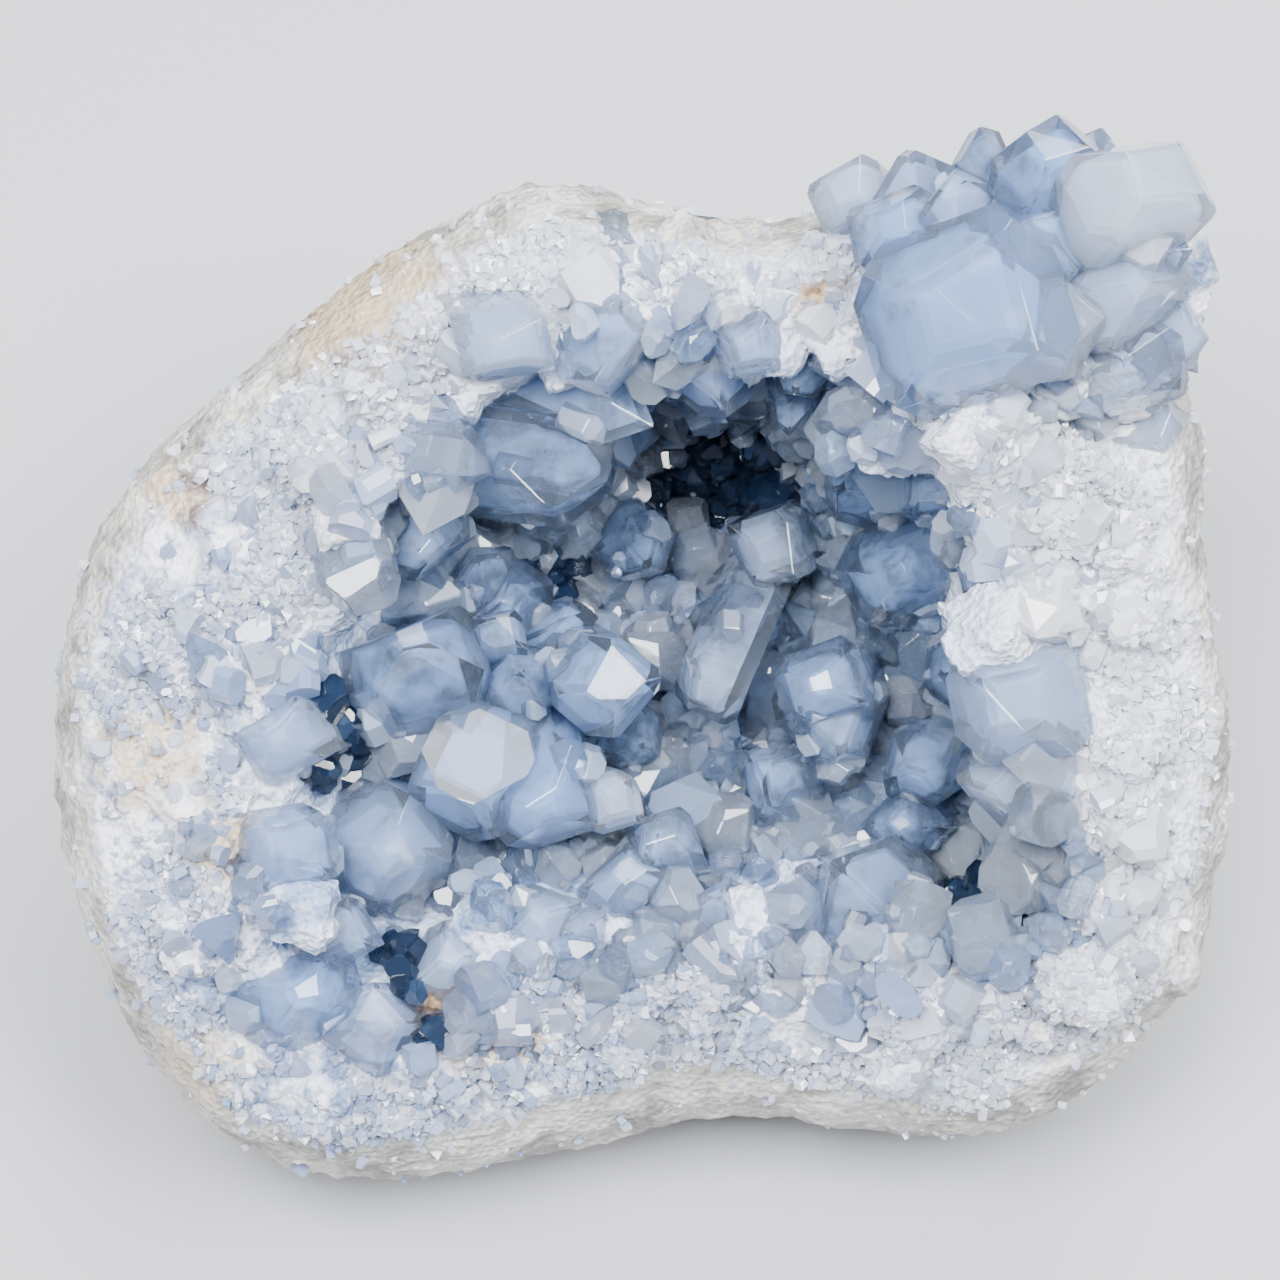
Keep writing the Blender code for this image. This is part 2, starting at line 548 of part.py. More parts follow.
def main():
    for leftover in list(bpy.data.objects):
        bpy.data.objects.remove(leftover)
    geode = collection("celestite_geode", True)
    chips = collection("rim_chips", False)
    growths = collection("hollow_growths", False)
    raised = collection("raised_growths", False)
    wall_guard = collection("wall_guard", False)
    crust_guard = collection("crust_guard", False)

    wall = wall_body("matrix_shell", geode)
    wall_body("guard_wall", wall_guard, GAP)
    for number, row in enumerate(chip_rows()):
        crystal(row, f"chip_{number}", chips, 200 + number, side_cuts=1)
        crystal(row, f"guard_chip_{number}", wall_guard, 200 + number, GAP, side_cuts=1)
    for guard in wall_guard.objects:
        crust_guard.objects.link(guard)
    boolean(wall, "UNION", chips)

    crust = crust_lining("hollow_crystal_crust", geode)
    for number, row in enumerate(HOLLOW_CRYSTALS):
        crystal(row, f"growth_{number}", growths, number)
    for number, row in enumerate(fill_rows()):
        crystal(row, f"fill_{number}", growths, 400 + number, side_cuts=0)
    boolean(crust, "UNION", growths)

    cluster = raised_core("raised_crystal_cluster", geode)
    raised_core("guard_core", crust_guard, GAP)
    for number, row in enumerate(RAISED_CRYSTALS):
        crystal(row, f"raised_{number}", raised, 60 + number)
        crystal(row, f"guard_raised_{number}", crust_guard, 60 + number, GAP)
    boolean(cluster, "UNION", raised)

    boolean(crust, "DIFFERENCE", crust_guard)
    boolean(cluster, "DIFFERENCE", wall_guard)
    for body in (wall, crust, cluster):
        largest_body(body)

    finish(wall, "pale_wall", (0.80, 0.81, 0.82), 0.75)
    finish(crust, "blue_celestite", (0.50, 0.62, 0.74), 0.15)
    finish(cluster, "pale_blue_celestite", (0.60, 0.70, 0.80), 0.2)


if __name__ == "__main__":
    main()
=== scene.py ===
"""The looks of a celestite geode: its sugary wall, the crystals of its hollow and its raised cluster.

The CAD nodes give the forms. Here the wall gets its broken, grainy surface, each large crystal is
cut again with fine edges and its own clarity, and thousands of small crystals and grains fill in
what the solids leave plain.
"""

import logging
import math
import random
from collections.abc import Iterator, Sequence
from dataclasses import dataclass, field, replace
from enum import Enum

import bpy
import numpy as np
from mathutils import Matrix, Vector, noise


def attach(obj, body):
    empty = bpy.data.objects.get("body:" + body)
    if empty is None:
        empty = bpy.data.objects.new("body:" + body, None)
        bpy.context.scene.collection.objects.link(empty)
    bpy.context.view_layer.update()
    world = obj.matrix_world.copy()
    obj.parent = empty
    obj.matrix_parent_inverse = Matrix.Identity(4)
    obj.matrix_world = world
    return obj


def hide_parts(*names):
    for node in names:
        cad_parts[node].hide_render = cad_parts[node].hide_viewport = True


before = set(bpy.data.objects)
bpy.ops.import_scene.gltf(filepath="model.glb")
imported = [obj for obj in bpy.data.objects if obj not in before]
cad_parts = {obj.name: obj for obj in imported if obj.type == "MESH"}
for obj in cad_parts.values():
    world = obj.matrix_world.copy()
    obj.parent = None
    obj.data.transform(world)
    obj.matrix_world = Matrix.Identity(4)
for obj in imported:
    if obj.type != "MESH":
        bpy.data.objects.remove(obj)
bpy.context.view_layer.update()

MM = 0.001
BODY = "root"
# Fixes the noise vectors, so that each run gives the same rock.
NOISE_SEED = 5
# How far above the floor everything that is scattered has to stay, in millimetres.
FLOOR_GAP = 0.2
LOG = logging.getLogger("celestite_geode")


def linear_colour(hex_value: str) -> tuple[float, float, float, float]:
    """Turns an sRGB hex colour into linear light.

    Args:
        hex_value: The colour as six hex digits after a hash sign.

    Returns:
        Red, green, blue and an alpha of one.
    """
    parts = [int(hex_value[start : start + 2], 16) / 255 for start in (1, 3, 5)]
    red, green, blue = (p / 12.92 if p <= 0.04045 else ((p + 0.055) / 1.055) ** 2.4 for p in parts)
    return red, green, blue, 1.0


def add_node(
    tree: bpy.types.NodeTree,
    kind: str,
    settings: dict[str, object] | None = None,
    links: dict[int | str, bpy.types.NodeSocket] | None = None,
) -> bpy.types.Node:
    """Adds a shader node.

    Args:
        tree: The node tree it goes in.
        kind: The node's type, without its ShaderNode prefix.
        settings: Properties by name, and values of inputs by their socket's name or number.
        links: Sockets to link to the node's inputs, by the input's name or number.

    Returns:
        The node.
    """
    node = tree.nodes.new("ShaderNode" + kind)
    for name, value in (settings or {}).items():
        if isinstance(name, str) and name.isidentifier() and hasattr(node, name):
            setattr(node, name, value)
        else:
            node.inputs[name].default_value = value
    for name, socket in (links or {}).items():
        tree.links.new(socket, node.inputs[name])
    return node


def deselect_everything() -> None:
    """Leaves nothing selected, so that an operator acts on what is selected next alone."""
    if bpy.context.object and bpy.context.object.mode != "OBJECT":
        bpy.ops.object.mode_set(mode="OBJECT")
    bpy.ops.object.select_all(action="DESELECT")


def select_only(thing: bpy.types.Object) -> None:
    """Selects one object and makes it active.

    Args:
        thing: The object.
    """
    deselect_everything()
    thing.select_set(True)
    bpy.context.view_layer.objects.active = thing


def edit_all() -> None:
    """Takes the active object into edit mode with everything on it selected."""
    bpy.ops.object.mode_set(mode="EDIT")
    bpy.ops.mesh.select_all(action="SELECT")


def join_all(things: Sequence[bpy.types.Object], name: str) -> bpy.types.Object:
    """Joins objects into one.

    Args:
        things: The objects, of which the first one's mesh takes in the others.
        name: The name of the result.

    Returns:
        The joined object.
    """
    deselect_everything()
    for thing in things:
        thing.select_set(True)
    bpy.context.view_layer.objects.active = things[0]
    bpy.ops.object.join()
    things[0].name = name
    things[0].data.name = name
    return things[0]


def set_values(mesh: bpy.types.Mesh, name: str, values: float | np.ndarray) -> None:
    """Stores one number for each of a mesh's points, for its material to read.

    Args:
        mesh: The mesh.
        name: The attribute's name.
        values: One number for all the points, or one for each.
    """
    layer = mesh.attributes.get(name) or mesh.attributes.new(name, "FLOAT", "POINT")
    layer.data.foreach_set("value", np.broadcast_to(values, len(mesh.vertices)).astype(np.float32))


def smooth_step(low: float, high: float, values: np.ndarray) -> np.ndarray:
    """Runs smoothly from zero at low to one at high."""
    share = np.clip((values - low) / (high - low), 0.0, 1.0)
    return share * share * (3 - 2 * share)


@dataclass(frozen=True)
class Opening:
    """The frame of the geode's opening, in which every form is laid out, in millimetres.

    x runs to the right, u up the slope of the opening and b straight out of it. Places are as
    they look from a point eye_distance out along b.
    """

    tilt: float = math.radians(28.0)
    eye_distance: float = 469.0
    middle: Vector = field(default_factory=lambda: Vector((0.0, -2.8, 54.0)))

    @property
    def across(self) -> Vector:
        """The direction of x."""
        return Vector((1.0, 0.0, 0.0))

    @property
    def up_slope(self) -> Vector:
        """The direction of u."""
        return Vector((0.0, math.cos(self.tilt), math.sin(self.tilt)))

    @property
    def out(self) -> Vector:
        """The direction of b."""
        return Vector((0.0, -math.sin(self.tilt), math.cos(self.tilt)))

    def spot(self, x: float, u: float, b: float) -> Vector:
        """The point in metres that is seen at x, u and stands b out of the opening."""
        near = 1.0 - b / self.eye_distance
        return (self.middle + self.across * (x * near) + self.up_slope * (u * near) + self.out * b) * MM

    def measure(self, points: np.ndarray) -> tuple[np.ndarray, np.ndarray, np.ndarray]:
        """The x, u and b of points given in metres, one row for each.

        Args:
            points: Places in metres, one row for each.

        Returns:
            The x, u and b of each point, in millimetres.
        """
        away = points / MM - np.array(self.middle)
        b = away @ np.array(self.out)
        near = 1.0 - b / self.eye_distance
        return away @ np.array(self.across) / near, away @ np.array(self.up_slope) / near, b

    def direction(self, lean: float, toward: float) -> Vector:
        """The direction that leans from b towards an angle in the plane of x and u, in degrees.

        Args:
            lean: The angle from b, in degrees.
            toward: The angle in the plane of x and u, from x to u, in degrees.

        Returns:
            The direction, one unit long.
        """
        lean, toward = math.radians(lean), math.radians(toward)
        aside = self.across * math.cos(toward) + self.up_slope * math.sin(toward)
        return self.out * math.cos(lean) + aside * math.sin(lean)


OPENING = Opening()


@dataclass
class WallForm:
    """Where the wall's rim, hollow and outside lie, in the opening's frame."""

    centre: tuple[float, float] = (2.0, -5.0)
    outer_outline: tuple[tuple[float, float], ...] = (
        (62, 7), (65, -9), (64, -24), (60, -39), (50, -49), (38, -55), (24, -53.5), (9, -52.5),
        (-8, -56), (-24, -59), (-36, -59.5), (-48, -53.5), (-58, -39), (-62.5, -28), (-64, -15),
        (-63, 2), (-57, 16.5), (-46, 27), (-32, 39), (-21, 46.5), (-10, 50), (4, 47), (15, 46),
        (28, 49), (42, 47), (54, 39), (61, 28), (62, 18),
    )
    inner_outline: tuple[tuple[float, float], ...] = (
        (41, 0), (45, -9), (49, -20), (48, -31), (40, -36), (28, -36.5), (14, -35), (-2, -35),
        (-16, -35), (-24, -39), (-31, -42.5), (-38, -38), (-42, -29), (-40, -20), (-37, -12),
        (-38, -4), (-33, 8), (-27, 17), (-18, 27), (-6, 33), (8, 35), (19, 33), (29, 25), (37, 12),
    )
    skin_widths: tuple[tuple[float, float], ...] = (
        (0, 2.5), (25, 3.0), (45, 4.0), (90, 4.0), (135, 6.0), (180, 3.0), (225, 4.0), (270, 8.0),
        (315, 3.5),
    )

    powdery: tuple[tuple[float, float], ...] = (
        (0, 1.0), (30, 1.0), (60, 0.7), (90, 0.6), (115, 0.9), (140, 0.6), (165, 0.3), (200, 0.15),
        (235, 0.0), (265, 0.1), (290, 0.3), (315, 0.6), (335, 0.9),
    )

    def __post_init__(self) -> None:
        """Turns the outlines into radii by direction from the centre."""
        self.outer = self._radii(self.outer_outline)
        self.inner = self._radii(self.inner_outline)
        self.skin = [(math.radians(turn), width) for turn, width in self.skin_widths]
        self.white = [(math.radians(turn), share) for turn, share in self.powdery]

    def _radii(self, outline: Sequence[tuple[float, float]]) -> list[tuple[float, float]]:
        """The outline's points as sorted pairs of angle and radius about the centre."""
        away = [(x - self.centre[0], u - self.centre[1]) for x, u in outline]
        return sorted((math.atan2(u, x) % math.tau, math.hypot(x, u)) for x, u in away)

    @staticmethod
    def along(stations: Sequence[tuple[float, float]], angles: np.ndarray) -> np.ndarray:
        """Values between stations of angle and value, going round.

        Args:
            stations: Pairs of angle in radians and value, sorted by angle.
            angles: Where the value is wanted.

        Returns:
            The value at each angle.
        """
        turns = [angle for angle, _ in stations]
        values = [value for _, value in stations]
        return np.interp(angles % math.tau, turns, values, period=math.tau)

    def whiteness(self, points: np.ndarray) -> np.ndarray:
        """How powdery white the rim is in each point's direction from the centre."""
        x, u, _ = OPENING.measure(points)
        return self.along(self.white, np.arctan2(u - self.centre[1], x - self.centre[0]))

    def zones(self, points: np.ndarray, normals: np.ndarray) -> dict[str, np.ndarray]:
        """Tells the hollow, the broken rim and the outer skin apart.

        Args:
            points: Places in metres, one row for each.
            normals: The surface's normals there.

        Returns:
            Shares from zero to one by zone name, the depth in the hollow in millimetres, and how
            near the rim's places are to the hollow.
        """
        x, u, b = OPENING.measure(points)
        angles = np.arctan2(u - self.centre[1], x - self.centre[0])
        radius = np.hypot(x - self.centre[0], u - self.centre[1])
        outer, inner = self.along(self.outer, angles), self.along(self.inner, angles)
        edge = outer - self.along(self.skin, angles)
        away = points - np.array(OPENING.spot(*self.centre, 0.0))
        outward = (away * normals).sum(axis=1) / np.linalg.norm(away, axis=1)
        beyond = smooth_step(-0.1, 0.2, outward) * smooth_step(2.0, -2.0, radius - inner)
        beyond = beyond * smooth_step(2.0, -6.0, b)
        below = smooth_step(0.45, 0.75, outward) * smooth_step(-1.0, -7.0, b)
        skin = np.maximum(smooth_step(-1.5, 1.5, radius - edge), np.maximum(beyond, below))
        hollow = (1.0 - skin) * smooth_step(-1.5, 1.5, inner - radius)
        inward = 1.0 - smooth_step(0.0, 1.0, (radius - inner) / np.maximum(edge - inner, 1.0))
        rim = (1 - skin) * (1 - hollow)
        return {"skin": skin, "hollow": hollow, "rim": rim, "depth": np.clip(-b, 0, 60), "inward": inward}


WALL_FORM = WallForm()

# The gaps between the crystals, kept clear and painted dark as shade: the cave under the overhanging
# rim, the pocket at the lower right, and the clefts on the left, each as a centre and half sizes in x and u.
GAPS = (
    (8.5, 17.5, 10.5, 8.0), (-11.0, 7.5, 4.0, 3.5), (37.0, -28.5, 9.5, 5.0), (-34.5, -10.5, 2.5, 6.5),
    (-24.5, -40.5, 3.0, 5.5),
)
# The size of the bumps in the gaps' ragged edges, in millimetres.
GAP_RAGGED = 4.0


def gaps_at(points: np.ndarray) -> np.ndarray:
    """How deep in one of the gaps, which are painted dark as shade, each point is, from zero to one.

    Args:
        points: Places in metres, one row for each.

    Returns:
        The value at each place.
    """
    x, u, _ = OPENING.measure(points)
    total = np.zeros(len(points))
    ragged = np.array([noise.noise(Vector(place)) for place in points / (GAP_RAGGED * MM)])
    for centre_x, centre_u, half_x, half_u in GAPS:
        far = np.hypot((x - centre_x) / half_x, (u - centre_u) / half_u)
        total = np.maximum(total, smooth_step(1.3, 0.4, far + 0.5 * ragged))
    return total


class Habit(Enum):
    """How a crystal ends. Each end cut has a direction round the axis, a slope from the axis,
    and the height above the tip, in widths, at which its plane crosses the axis."""

    BLOCK = ((0, 50, 0.06), (180, 46, 0.0), (92, 57, 0.04), (268, 54, 0.08), (20, 9, -0.10))
    CHISEL = ((0, 54, 0.0), (180, 50, 0.02), (90, 36, 0.10), (270, 42, 0.16))
    POINT = ((44, 56, 0.0), (136, 60, 0.03), (224, 57, 0.02), (316, 61, 0.0))
    SLAB = ((30, 14, 0.0), (0, 52, 0.34), (180, 55, 0.26), (90, 58, 0.36), (262, 50, 0.30))


BLOCK, CHISEL, POINT, SLAB = Habit


@dataclass(frozen=True)
class Crystal:
    """One crystal: its tip's place, its lean from b and the direction it leans towards in
    degrees, its size in millimetres, its roll about its axis, how it ends, and how hazy and how
    blue it is, from zero to one."""

    x: float
    u: float
    b: float
    lean: float
    toward: float
    length: float
    width: float
    thickness: float
    roll: float
    habit: Habit
    haze: float = 0.3
    tint: float = 0.5

    def frame(self) -> Matrix:
        """The place and turn of the crystal, whose axis points from its root to its tip.

        Returns:
            The matrix that takes the crystal from the origin to its place.
        """
        axis = OPENING.direction(self.lean, self.toward)
        side = (OPENING.across - axis * OPENING.across.dot(axis)).normalized()
        side = Matrix.Rotation(math.radians(self.roll), 3, axis) @ side
        placed = Matrix((side, axis.cross(side), axis)).transposed().to_4x4()
        placed.translation = OPENING.spot(self.x, self.u, self.b)
        return placed


# How much of a large crystal's width is kept free on each side of its tip, and how wide the edge
# of the free place is, in millimetres.
FREE_SHARE = 0.56
FREE_EDGE = 1.5


def room_for(crystals: Sequence[Crystal], points: np.ndarray) -> np.ndarray:
    """One where nothing small may hide a large crystal's tip, and zero elsewhere.

    Args:
        crystals: The large crystals.
        points: Places in metres, one row for each.

    Returns:
        The value at each place.
    """
    x, u, _ = OPENING.measure(points)
    total = np.zeros(len(points))
    for crystal in crystals:
        far, free = np.hypot(x - crystal.x, u - crystal.u), FREE_SHARE * crystal.width
        total = np.maximum(total, smooth_step(free + FREE_EDGE, free, far))
    return total


@dataclass
class CrystalCutter:
    """Cuts a crystal from a square post, as a lapidary would, one flat face after another.

    side_cuts take off the post's corners, each as a direction round the axis and a reach in
    widths. The slacks are how much a cut may be off, in degrees or widths. The cloud sizes are
    shares of the crystal's width where it is clearest, and what its haze adds.
    """

    side_cuts: tuple[tuple[float, float], ...] = ((39, 0.53), (219, 0.54), (141, 0.55), (321, 0.56))
    large: float = 10.0
    edge: float = 0.10
    slope_slack: float = 5.0
    side_slack: float = 0.05
    tip_slack: float = 0.04
    turn_slack: float = 8.0
    cloud_least: float = 0.50
    cloud_spread: float = 0.42
    cloud_length: float = 0.9
    cloud_edge: float = 0.05

    def cut(self, crystal: Crystal, seed: int, name: str) -> bpy.types.Object:
        """Makes one crystal with fine edges and sets it in its place.

        Args:
            crystal: What to make.
            seed: Draws the small differences between crystals of a habit.
            name: The object's name.

        Returns:
            The crystal, at the origin with its place in its mesh.
        """
        made = self._post(crystal, seed, name)
        if self.edge > 0:
            self._break_edges(self.edge)
        return self._placed(made, crystal)

    def cloud(self, crystal: Crystal, seed: int, name: str) -> bpy.types.Object:
        """Makes the milky cloud inside a crystal: the same form, smaller and with broken edges.

        Args:
            crystal: The crystal that it lies in.
            seed: The seed that the crystal was cut with.
            name: The object's name.

        Returns:
            The cloud, at the origin with its place in its mesh.
        """
        share = self.cloud_least + self.cloud_spread * crystal.haze
        width, thickness = crystal.width * share, crystal.thickness * share
        length = crystal.length * self.cloud_length
        inner = replace(crystal, width=width, thickness=thickness, length=length)
        made = self._post(inner, seed, name)
        self._break_edges(self.cloud_edge * thickness)
        bpy.ops.transform.translate(value=(0, 0, -0.5 * (1 - share) * crystal.width * MM))
        return self._placed(made, crystal)

    @staticmethod
    def _break_edges(width: float) -> None:
        """Takes a strip of that width in millimetres off every edge."""
        bpy.ops.mesh.select_all(action="SELECT")
        bpy.ops.mesh.bevel(offset=width * MM, segments=1, affect="EDGES", clamp_overlap=True)

    def _post(self, crystal: Crystal, seed: int, name: str) -> bpy.types.Object:
        """Cuts the flat faces, and leaves the object in edit mode.

        Args:
            crystal: What to cut.
            seed: Draws the small differences.
            name: The object's name.

        Returns:
            The object, with its tip at the origin.
        """
        chance = random.Random(seed)
        bpy.ops.mesh.primitive_cube_add(size=MM)
        made = bpy.context.object
        made.name = name
        edit_all()
        bpy.ops.transform.resize(value=(crystal.width, crystal.thickness, crystal.length))
        bpy.ops.transform.translate(value=(0, 0, -crystal.length / 2 * MM))
        for normal, reach in self._planes(crystal, chance):
            bpy.ops.mesh.select_all(action="SELECT")
            bpy.ops.mesh.bisect(
                plane_co=normal * reach * MM, plane_no=normal,
                use_fill=True, clear_outer=True, threshold=1e-6,
            )
        return made

    @staticmethod
    def _placed(made: bpy.types.Object, crystal: Crystal) -> bpy.types.Object:
        """Leaves edit mode, and sets the object in the crystal's place.

        Args:
            made: The object, with its tip at the origin.
            crystal: Whose place it takes, and whose haze and tint.

        Returns:
            The same object.
        """
        bpy.ops.object.mode_set(mode="OBJECT")
        made.data.transform(crystal.frame())
        set_values(made.data, "haze", crystal.haze)
        set_values(made.data, "tint", crystal.tint)
        return made

    def _planes(self, crystal: Crystal, chance: random.Random) -> Iterator[tuple[Vector, float]]:
        """The cutting planes as normals and their reach from the tip in millimetres.

        Args:
            crystal: What to cut.
            chance: Draws the small differences.

        Returns:
            Each plane's normal and reach.
        """

        def off(slack: float) -> float:
            """A small difference, up to slack either way."""
            return chance.uniform(-slack, slack)

        width, thickness = crystal.width, crystal.thickness
        cuts = []
        for turn, share in self.side_cuts[: 4 if width > self.large else 2]:
            cuts.append((turn + off(self.slope_slack), 90, share + off(self.side_slack)))
        for turn, slope, crossing in crystal.habit.value:
            slope += off(self.slope_slack)
            reach = (crossing + off(self.tip_slack)) * math.cos(math.radians(slope))
            cuts.append((turn + off(self.turn_slack), slope, reach))
        for turn, slope, reach in cuts:
            turn, slope = math.radians(turn), math.radians(slope)
            aside = math.sin(slope)
            normal = Vector((
                math.cos(turn) * aside / width, math.sin(turn) * aside / thickness, math.cos(slope) / width
            ))
            yield normal.normalized(), reach / normal.length


@dataclass
class Model:
    """A small shape that is copied many times, about one unit wide, with its tip at the origin."""

    points: np.ndarray
    faces: list[tuple[int, ...]]


def model_of(thing: bpy.types.Object) -> Model:
    """Takes the shape of an object for copying, and removes the object.

    Args:
        thing: The object.

    Returns:
        Its shape.
    """
    points = np.array([vertex.co[:] for vertex in thing.data.vertices])
    faces = [tuple(face.vertices) for face in thing.data.polygons]
    mesh = thing.data
    bpy.data.objects.remove(thing)
    bpy.data.meshes.remove(mesh)
    return Model(points, faces)


@dataclass
class Swarm:
    """Many copies of a few models, gathered into one mesh with each copy's own haze and tint."""

    models: Sequence[Model]
    points: list[np.ndarray] = field(default_factory=list)
    faces: list[tuple[int, ...]] = field(default_factory=list)
    haze: list[np.ndarray] = field(default_factory=list)
    tint: list[np.ndarray] = field(default_factory=list)
    count: int = 0

    def add(self, number: int, turn: np.ndarray, place: np.ndarray, haze: float, tint: float) -> None:
        """Adds one copy, unless it would reach below the flat spot that the geode rests on.

        Args:
            number: Which model.
            turn: Its turn and size, three by three.
            place: Where its tip goes, in metres.
            haze: How hazy it is, from zero to one.
            tint: How blue it is, from zero to one.
        """
        model = self.models[number % len(self.models)]
        placed = model.points @ turn.T + place
        if placed[:, 2].min() < FLOOR_GAP * MM:
            return
        self.points.append(placed)
        self.faces.extend(tuple(index + self.count for index in face) for face in model.faces)
        size = len(model.points)
        self.haze.append(np.full(size, haze))
        self.tint.append(np.full(size, tint))
        self.count += size

    def build(self, name: str) -> bpy.types.Object:
        """Makes the object that holds all the copies.

        Args:
            name: The object's name.

        Returns:
            The object, with the haze and tint stored for each point.
        """
        mesh = bpy.data.meshes.new(name)
        mesh.from_pydata(np.concatenate(self.points).tolist(), [], self.faces)
        set_values(mesh, "haze", np.concatenate(self.haze))
        set_values(mesh, "tint", np.concatenate(self.tint))
        made = bpy.data.objects.new(name, mesh)
        bpy.context.scene.collection.objects.link(made)
        return made


@dataclass
class Surface:
    """The triangles of a mesh, on which small things are scattered."""

    corners: np.ndarray
    normals: np.ndarray
    areas: np.ndarray

    @classmethod
    def of(cls, thing: bpy.types.Object) -> "Surface":
        """Reads the triangles of an object.

        Args:
            thing: The object.

        Returns:
            Its triangles, with their normals and areas in square metres.
        """
        mesh = thing.data
        mesh.calc_loop_triangles()
        count = len(mesh.loop_triangles)
        points, order = np.empty(len(mesh.vertices) * 3), np.empty(count * 3, dtype=np.int32)
        mesh.vertices.foreach_get("co", points)
        mesh.loop_triangles.foreach_get("vertices", order)
        corners = points.reshape(-1, 3)[order].reshape(-1, 3, 3)
        crossed = np.cross(corners[:, 1] - corners[:, 0], corners[:, 2] - corners[:, 0])
        doubled = np.linalg.norm(crossed, axis=1)
        return cls(corners, crossed / np.maximum(doubled, 1e-15)[:, None], doubled / 2)

    def zones(self) -> dict[str, np.ndarray]:
        """The wall's zones at the middle of each triangle."""
        return WALL_FORM.zones(self.corners.mean(axis=1), self.normals)

    def scatter(
        self, count: int, weight: np.ndarray, seed: int, values: np.ndarray
    ) -> tuple[np.ndarray, np.ndarray, np.ndarray]:
        """Picks places on the surface.

        Args:
            count: How many.
            weight: How likely each triangle is for its area.
            seed: Draws the places.
            values: A value of each triangle.

        Returns:
            The places, and the normals and values there.
        """
        draw = np.random.default_rng(seed)
        chances = self.areas * weight
        picked = draw.choice(len(self.areas), size=count, p=chances / chances.sum())
        shares = draw.dirichlet((1.0, 1.0, 1.0), count)
        return (self.corners[picked] * shares[:, :, None]).sum(axis=1), self.normals[picked], values[picked]


def patches(points: np.ndarray, size: float) -> np.ndarray:
    """Patches with soft edges, from zero to one.

    Args:
        points: Places in metres, one row for each.
        size: How far apart the patches are, in millimetres.

    Returns:
        The value at each place.
    """
    values = np.array([noise.fractal(Vector(place), 0.7, 2.0, 3) for place in points / (size * MM)])
    return smooth_step(-0.15, 0.25, values)


def facing(normal: np.ndarray, spin: float) -> np.ndarray:
    """A turn whose third axis lies along normal, spun about it.

    Args:
        normal: The direction of the third axis.
        spin: The angle about it, in radians.

    Returns:
        The turn, three by three.
    """
    axis = Vector(normal).normalized()
    helper = Vector((1.0, 0.0, 0.0)) if abs(axis.x) < 0.8 else Vector((0.0, 1.0, 0.0))
    side = Matrix.Rotation(spin, 3, axis) @ helper.cross(axis).normalized()
    return np.array(Matrix((side, axis.cross(side), axis)).transposed())


def shaken_turn(normal: np.ndarray, amount: float, size: float, chance: random.Random) -> np.ndarray:
    """The turn and size of something that stands roughly along a normal.

    Args:
        normal: The direction that it would stand in.
        amount: How far each part of the direction may be off.
        size: Its size in millimetres.
        chance: Draws the direction, and then the spin about it.

    Returns:
        The turn and size, three by three.
    """
    shaken = normal + np.array([chance.uniform(-amount, amount) for _ in range(3)])
    return facing(shaken, chance.uniform(0, math.tau)) * size * MM


@dataclass
class SmallShapes:
    """The models that small things are copied from, cut large and scaled to one unit: fine
    crystals with broken edges, plain shorter ones, and grains."""

    cut_size: float = 12.0
    thickness: float = 0.85
    of_each: int = 3
    grain_kinds: int = 8
    grain_size: float = 0.8
    grain_slack: float = 0.26

    def __post_init__(self) -> None:
        """Makes the models."""
        self.fine = self._crystals(1.4, 0.22)
        self.plain = self._crystals(1.2, 0.0)
        self.grains = self._grains()

    def _crystals(self, length: float, edge: float) -> list[Model]:
        """Small crystals of every habit, of a length in widths, with edges broken by that much.

        Args:
            length: The crystals' length in widths.
            edge: How wide a strip is taken off their edges, in millimetres before scaling.

        Returns:
            The models.
        """
        cutter = CrystalCutter(edge=edge)
        seeds = range(40, 40 + self.of_each)
        return [self._model(cutter, habit, seed, length) for habit in Habit for seed in seeds]

    def _grains(self) -> list[Model]:
        """Sharp broken grains, about one unit across.

        Returns:
            The models.
        """
        made = []
        for seed in range(self.grain_kinds):
            chance = random.Random(70 + seed)
            bpy.ops.mesh.primitive_cube_add(size=self.grain_size)
            grain = bpy.context.object
            for vertex in grain.data.vertices:
                shift = [chance.uniform(-self.grain_slack, self.grain_slack) for _ in range(3)]
                vertex.co += Vector(shift)
            edit_all()
            bpy.ops.mesh.convex_hull()
            bpy.ops.object.mode_set(mode="OBJECT")
            made.append(model_of(grain))
        return made

    def _model(self, cutter: CrystalCutter, habit: Habit, seed: int, length: float) -> Model:
        """Cuts one model.

        Args:
            cutter: What it is cut with.
            habit: How it ends.
            seed: Draws the small differences.
            length: Its length in widths.

        Returns:
            The model.
        """
        size = self.cut_size
        crystal = Crystal(0, 0, 0, 0, 0, length * size, size, self.thickness * size, 0, habit)
        made = cutter.cut(crystal, seed, "model")
        made.data.transform(crystal.frame().inverted())
        model = model_of(made)
        model.points = model.points / (size * MM)
        return model


def empty_material(name: str) -> tuple[bpy.types.Material, bpy.types.NodeTree, bpy.types.NodeSocket]:
    """Starts a material.

    Args:
        name: What it is.

    Returns:
        The material, its node tree, and the socket of object coordinates.
    """
    material = bpy.data.materials.new(name)
    material.use_nodes = True
    tree = material.node_tree
    tree.nodes.clear()
    return material, tree, add_node(tree, "TexCoord").outputs["Object"]


# Settings that the nodes of every finish share: a blend of two colours, on sockets 6 and 7, and a
# smooth step from the values on sockets 1 and 2 to those on 3 and 4.
BLEND = {"data_type": "RGBA"}
STEP = {"interpolation_type": "SMOOTHSTEP"}


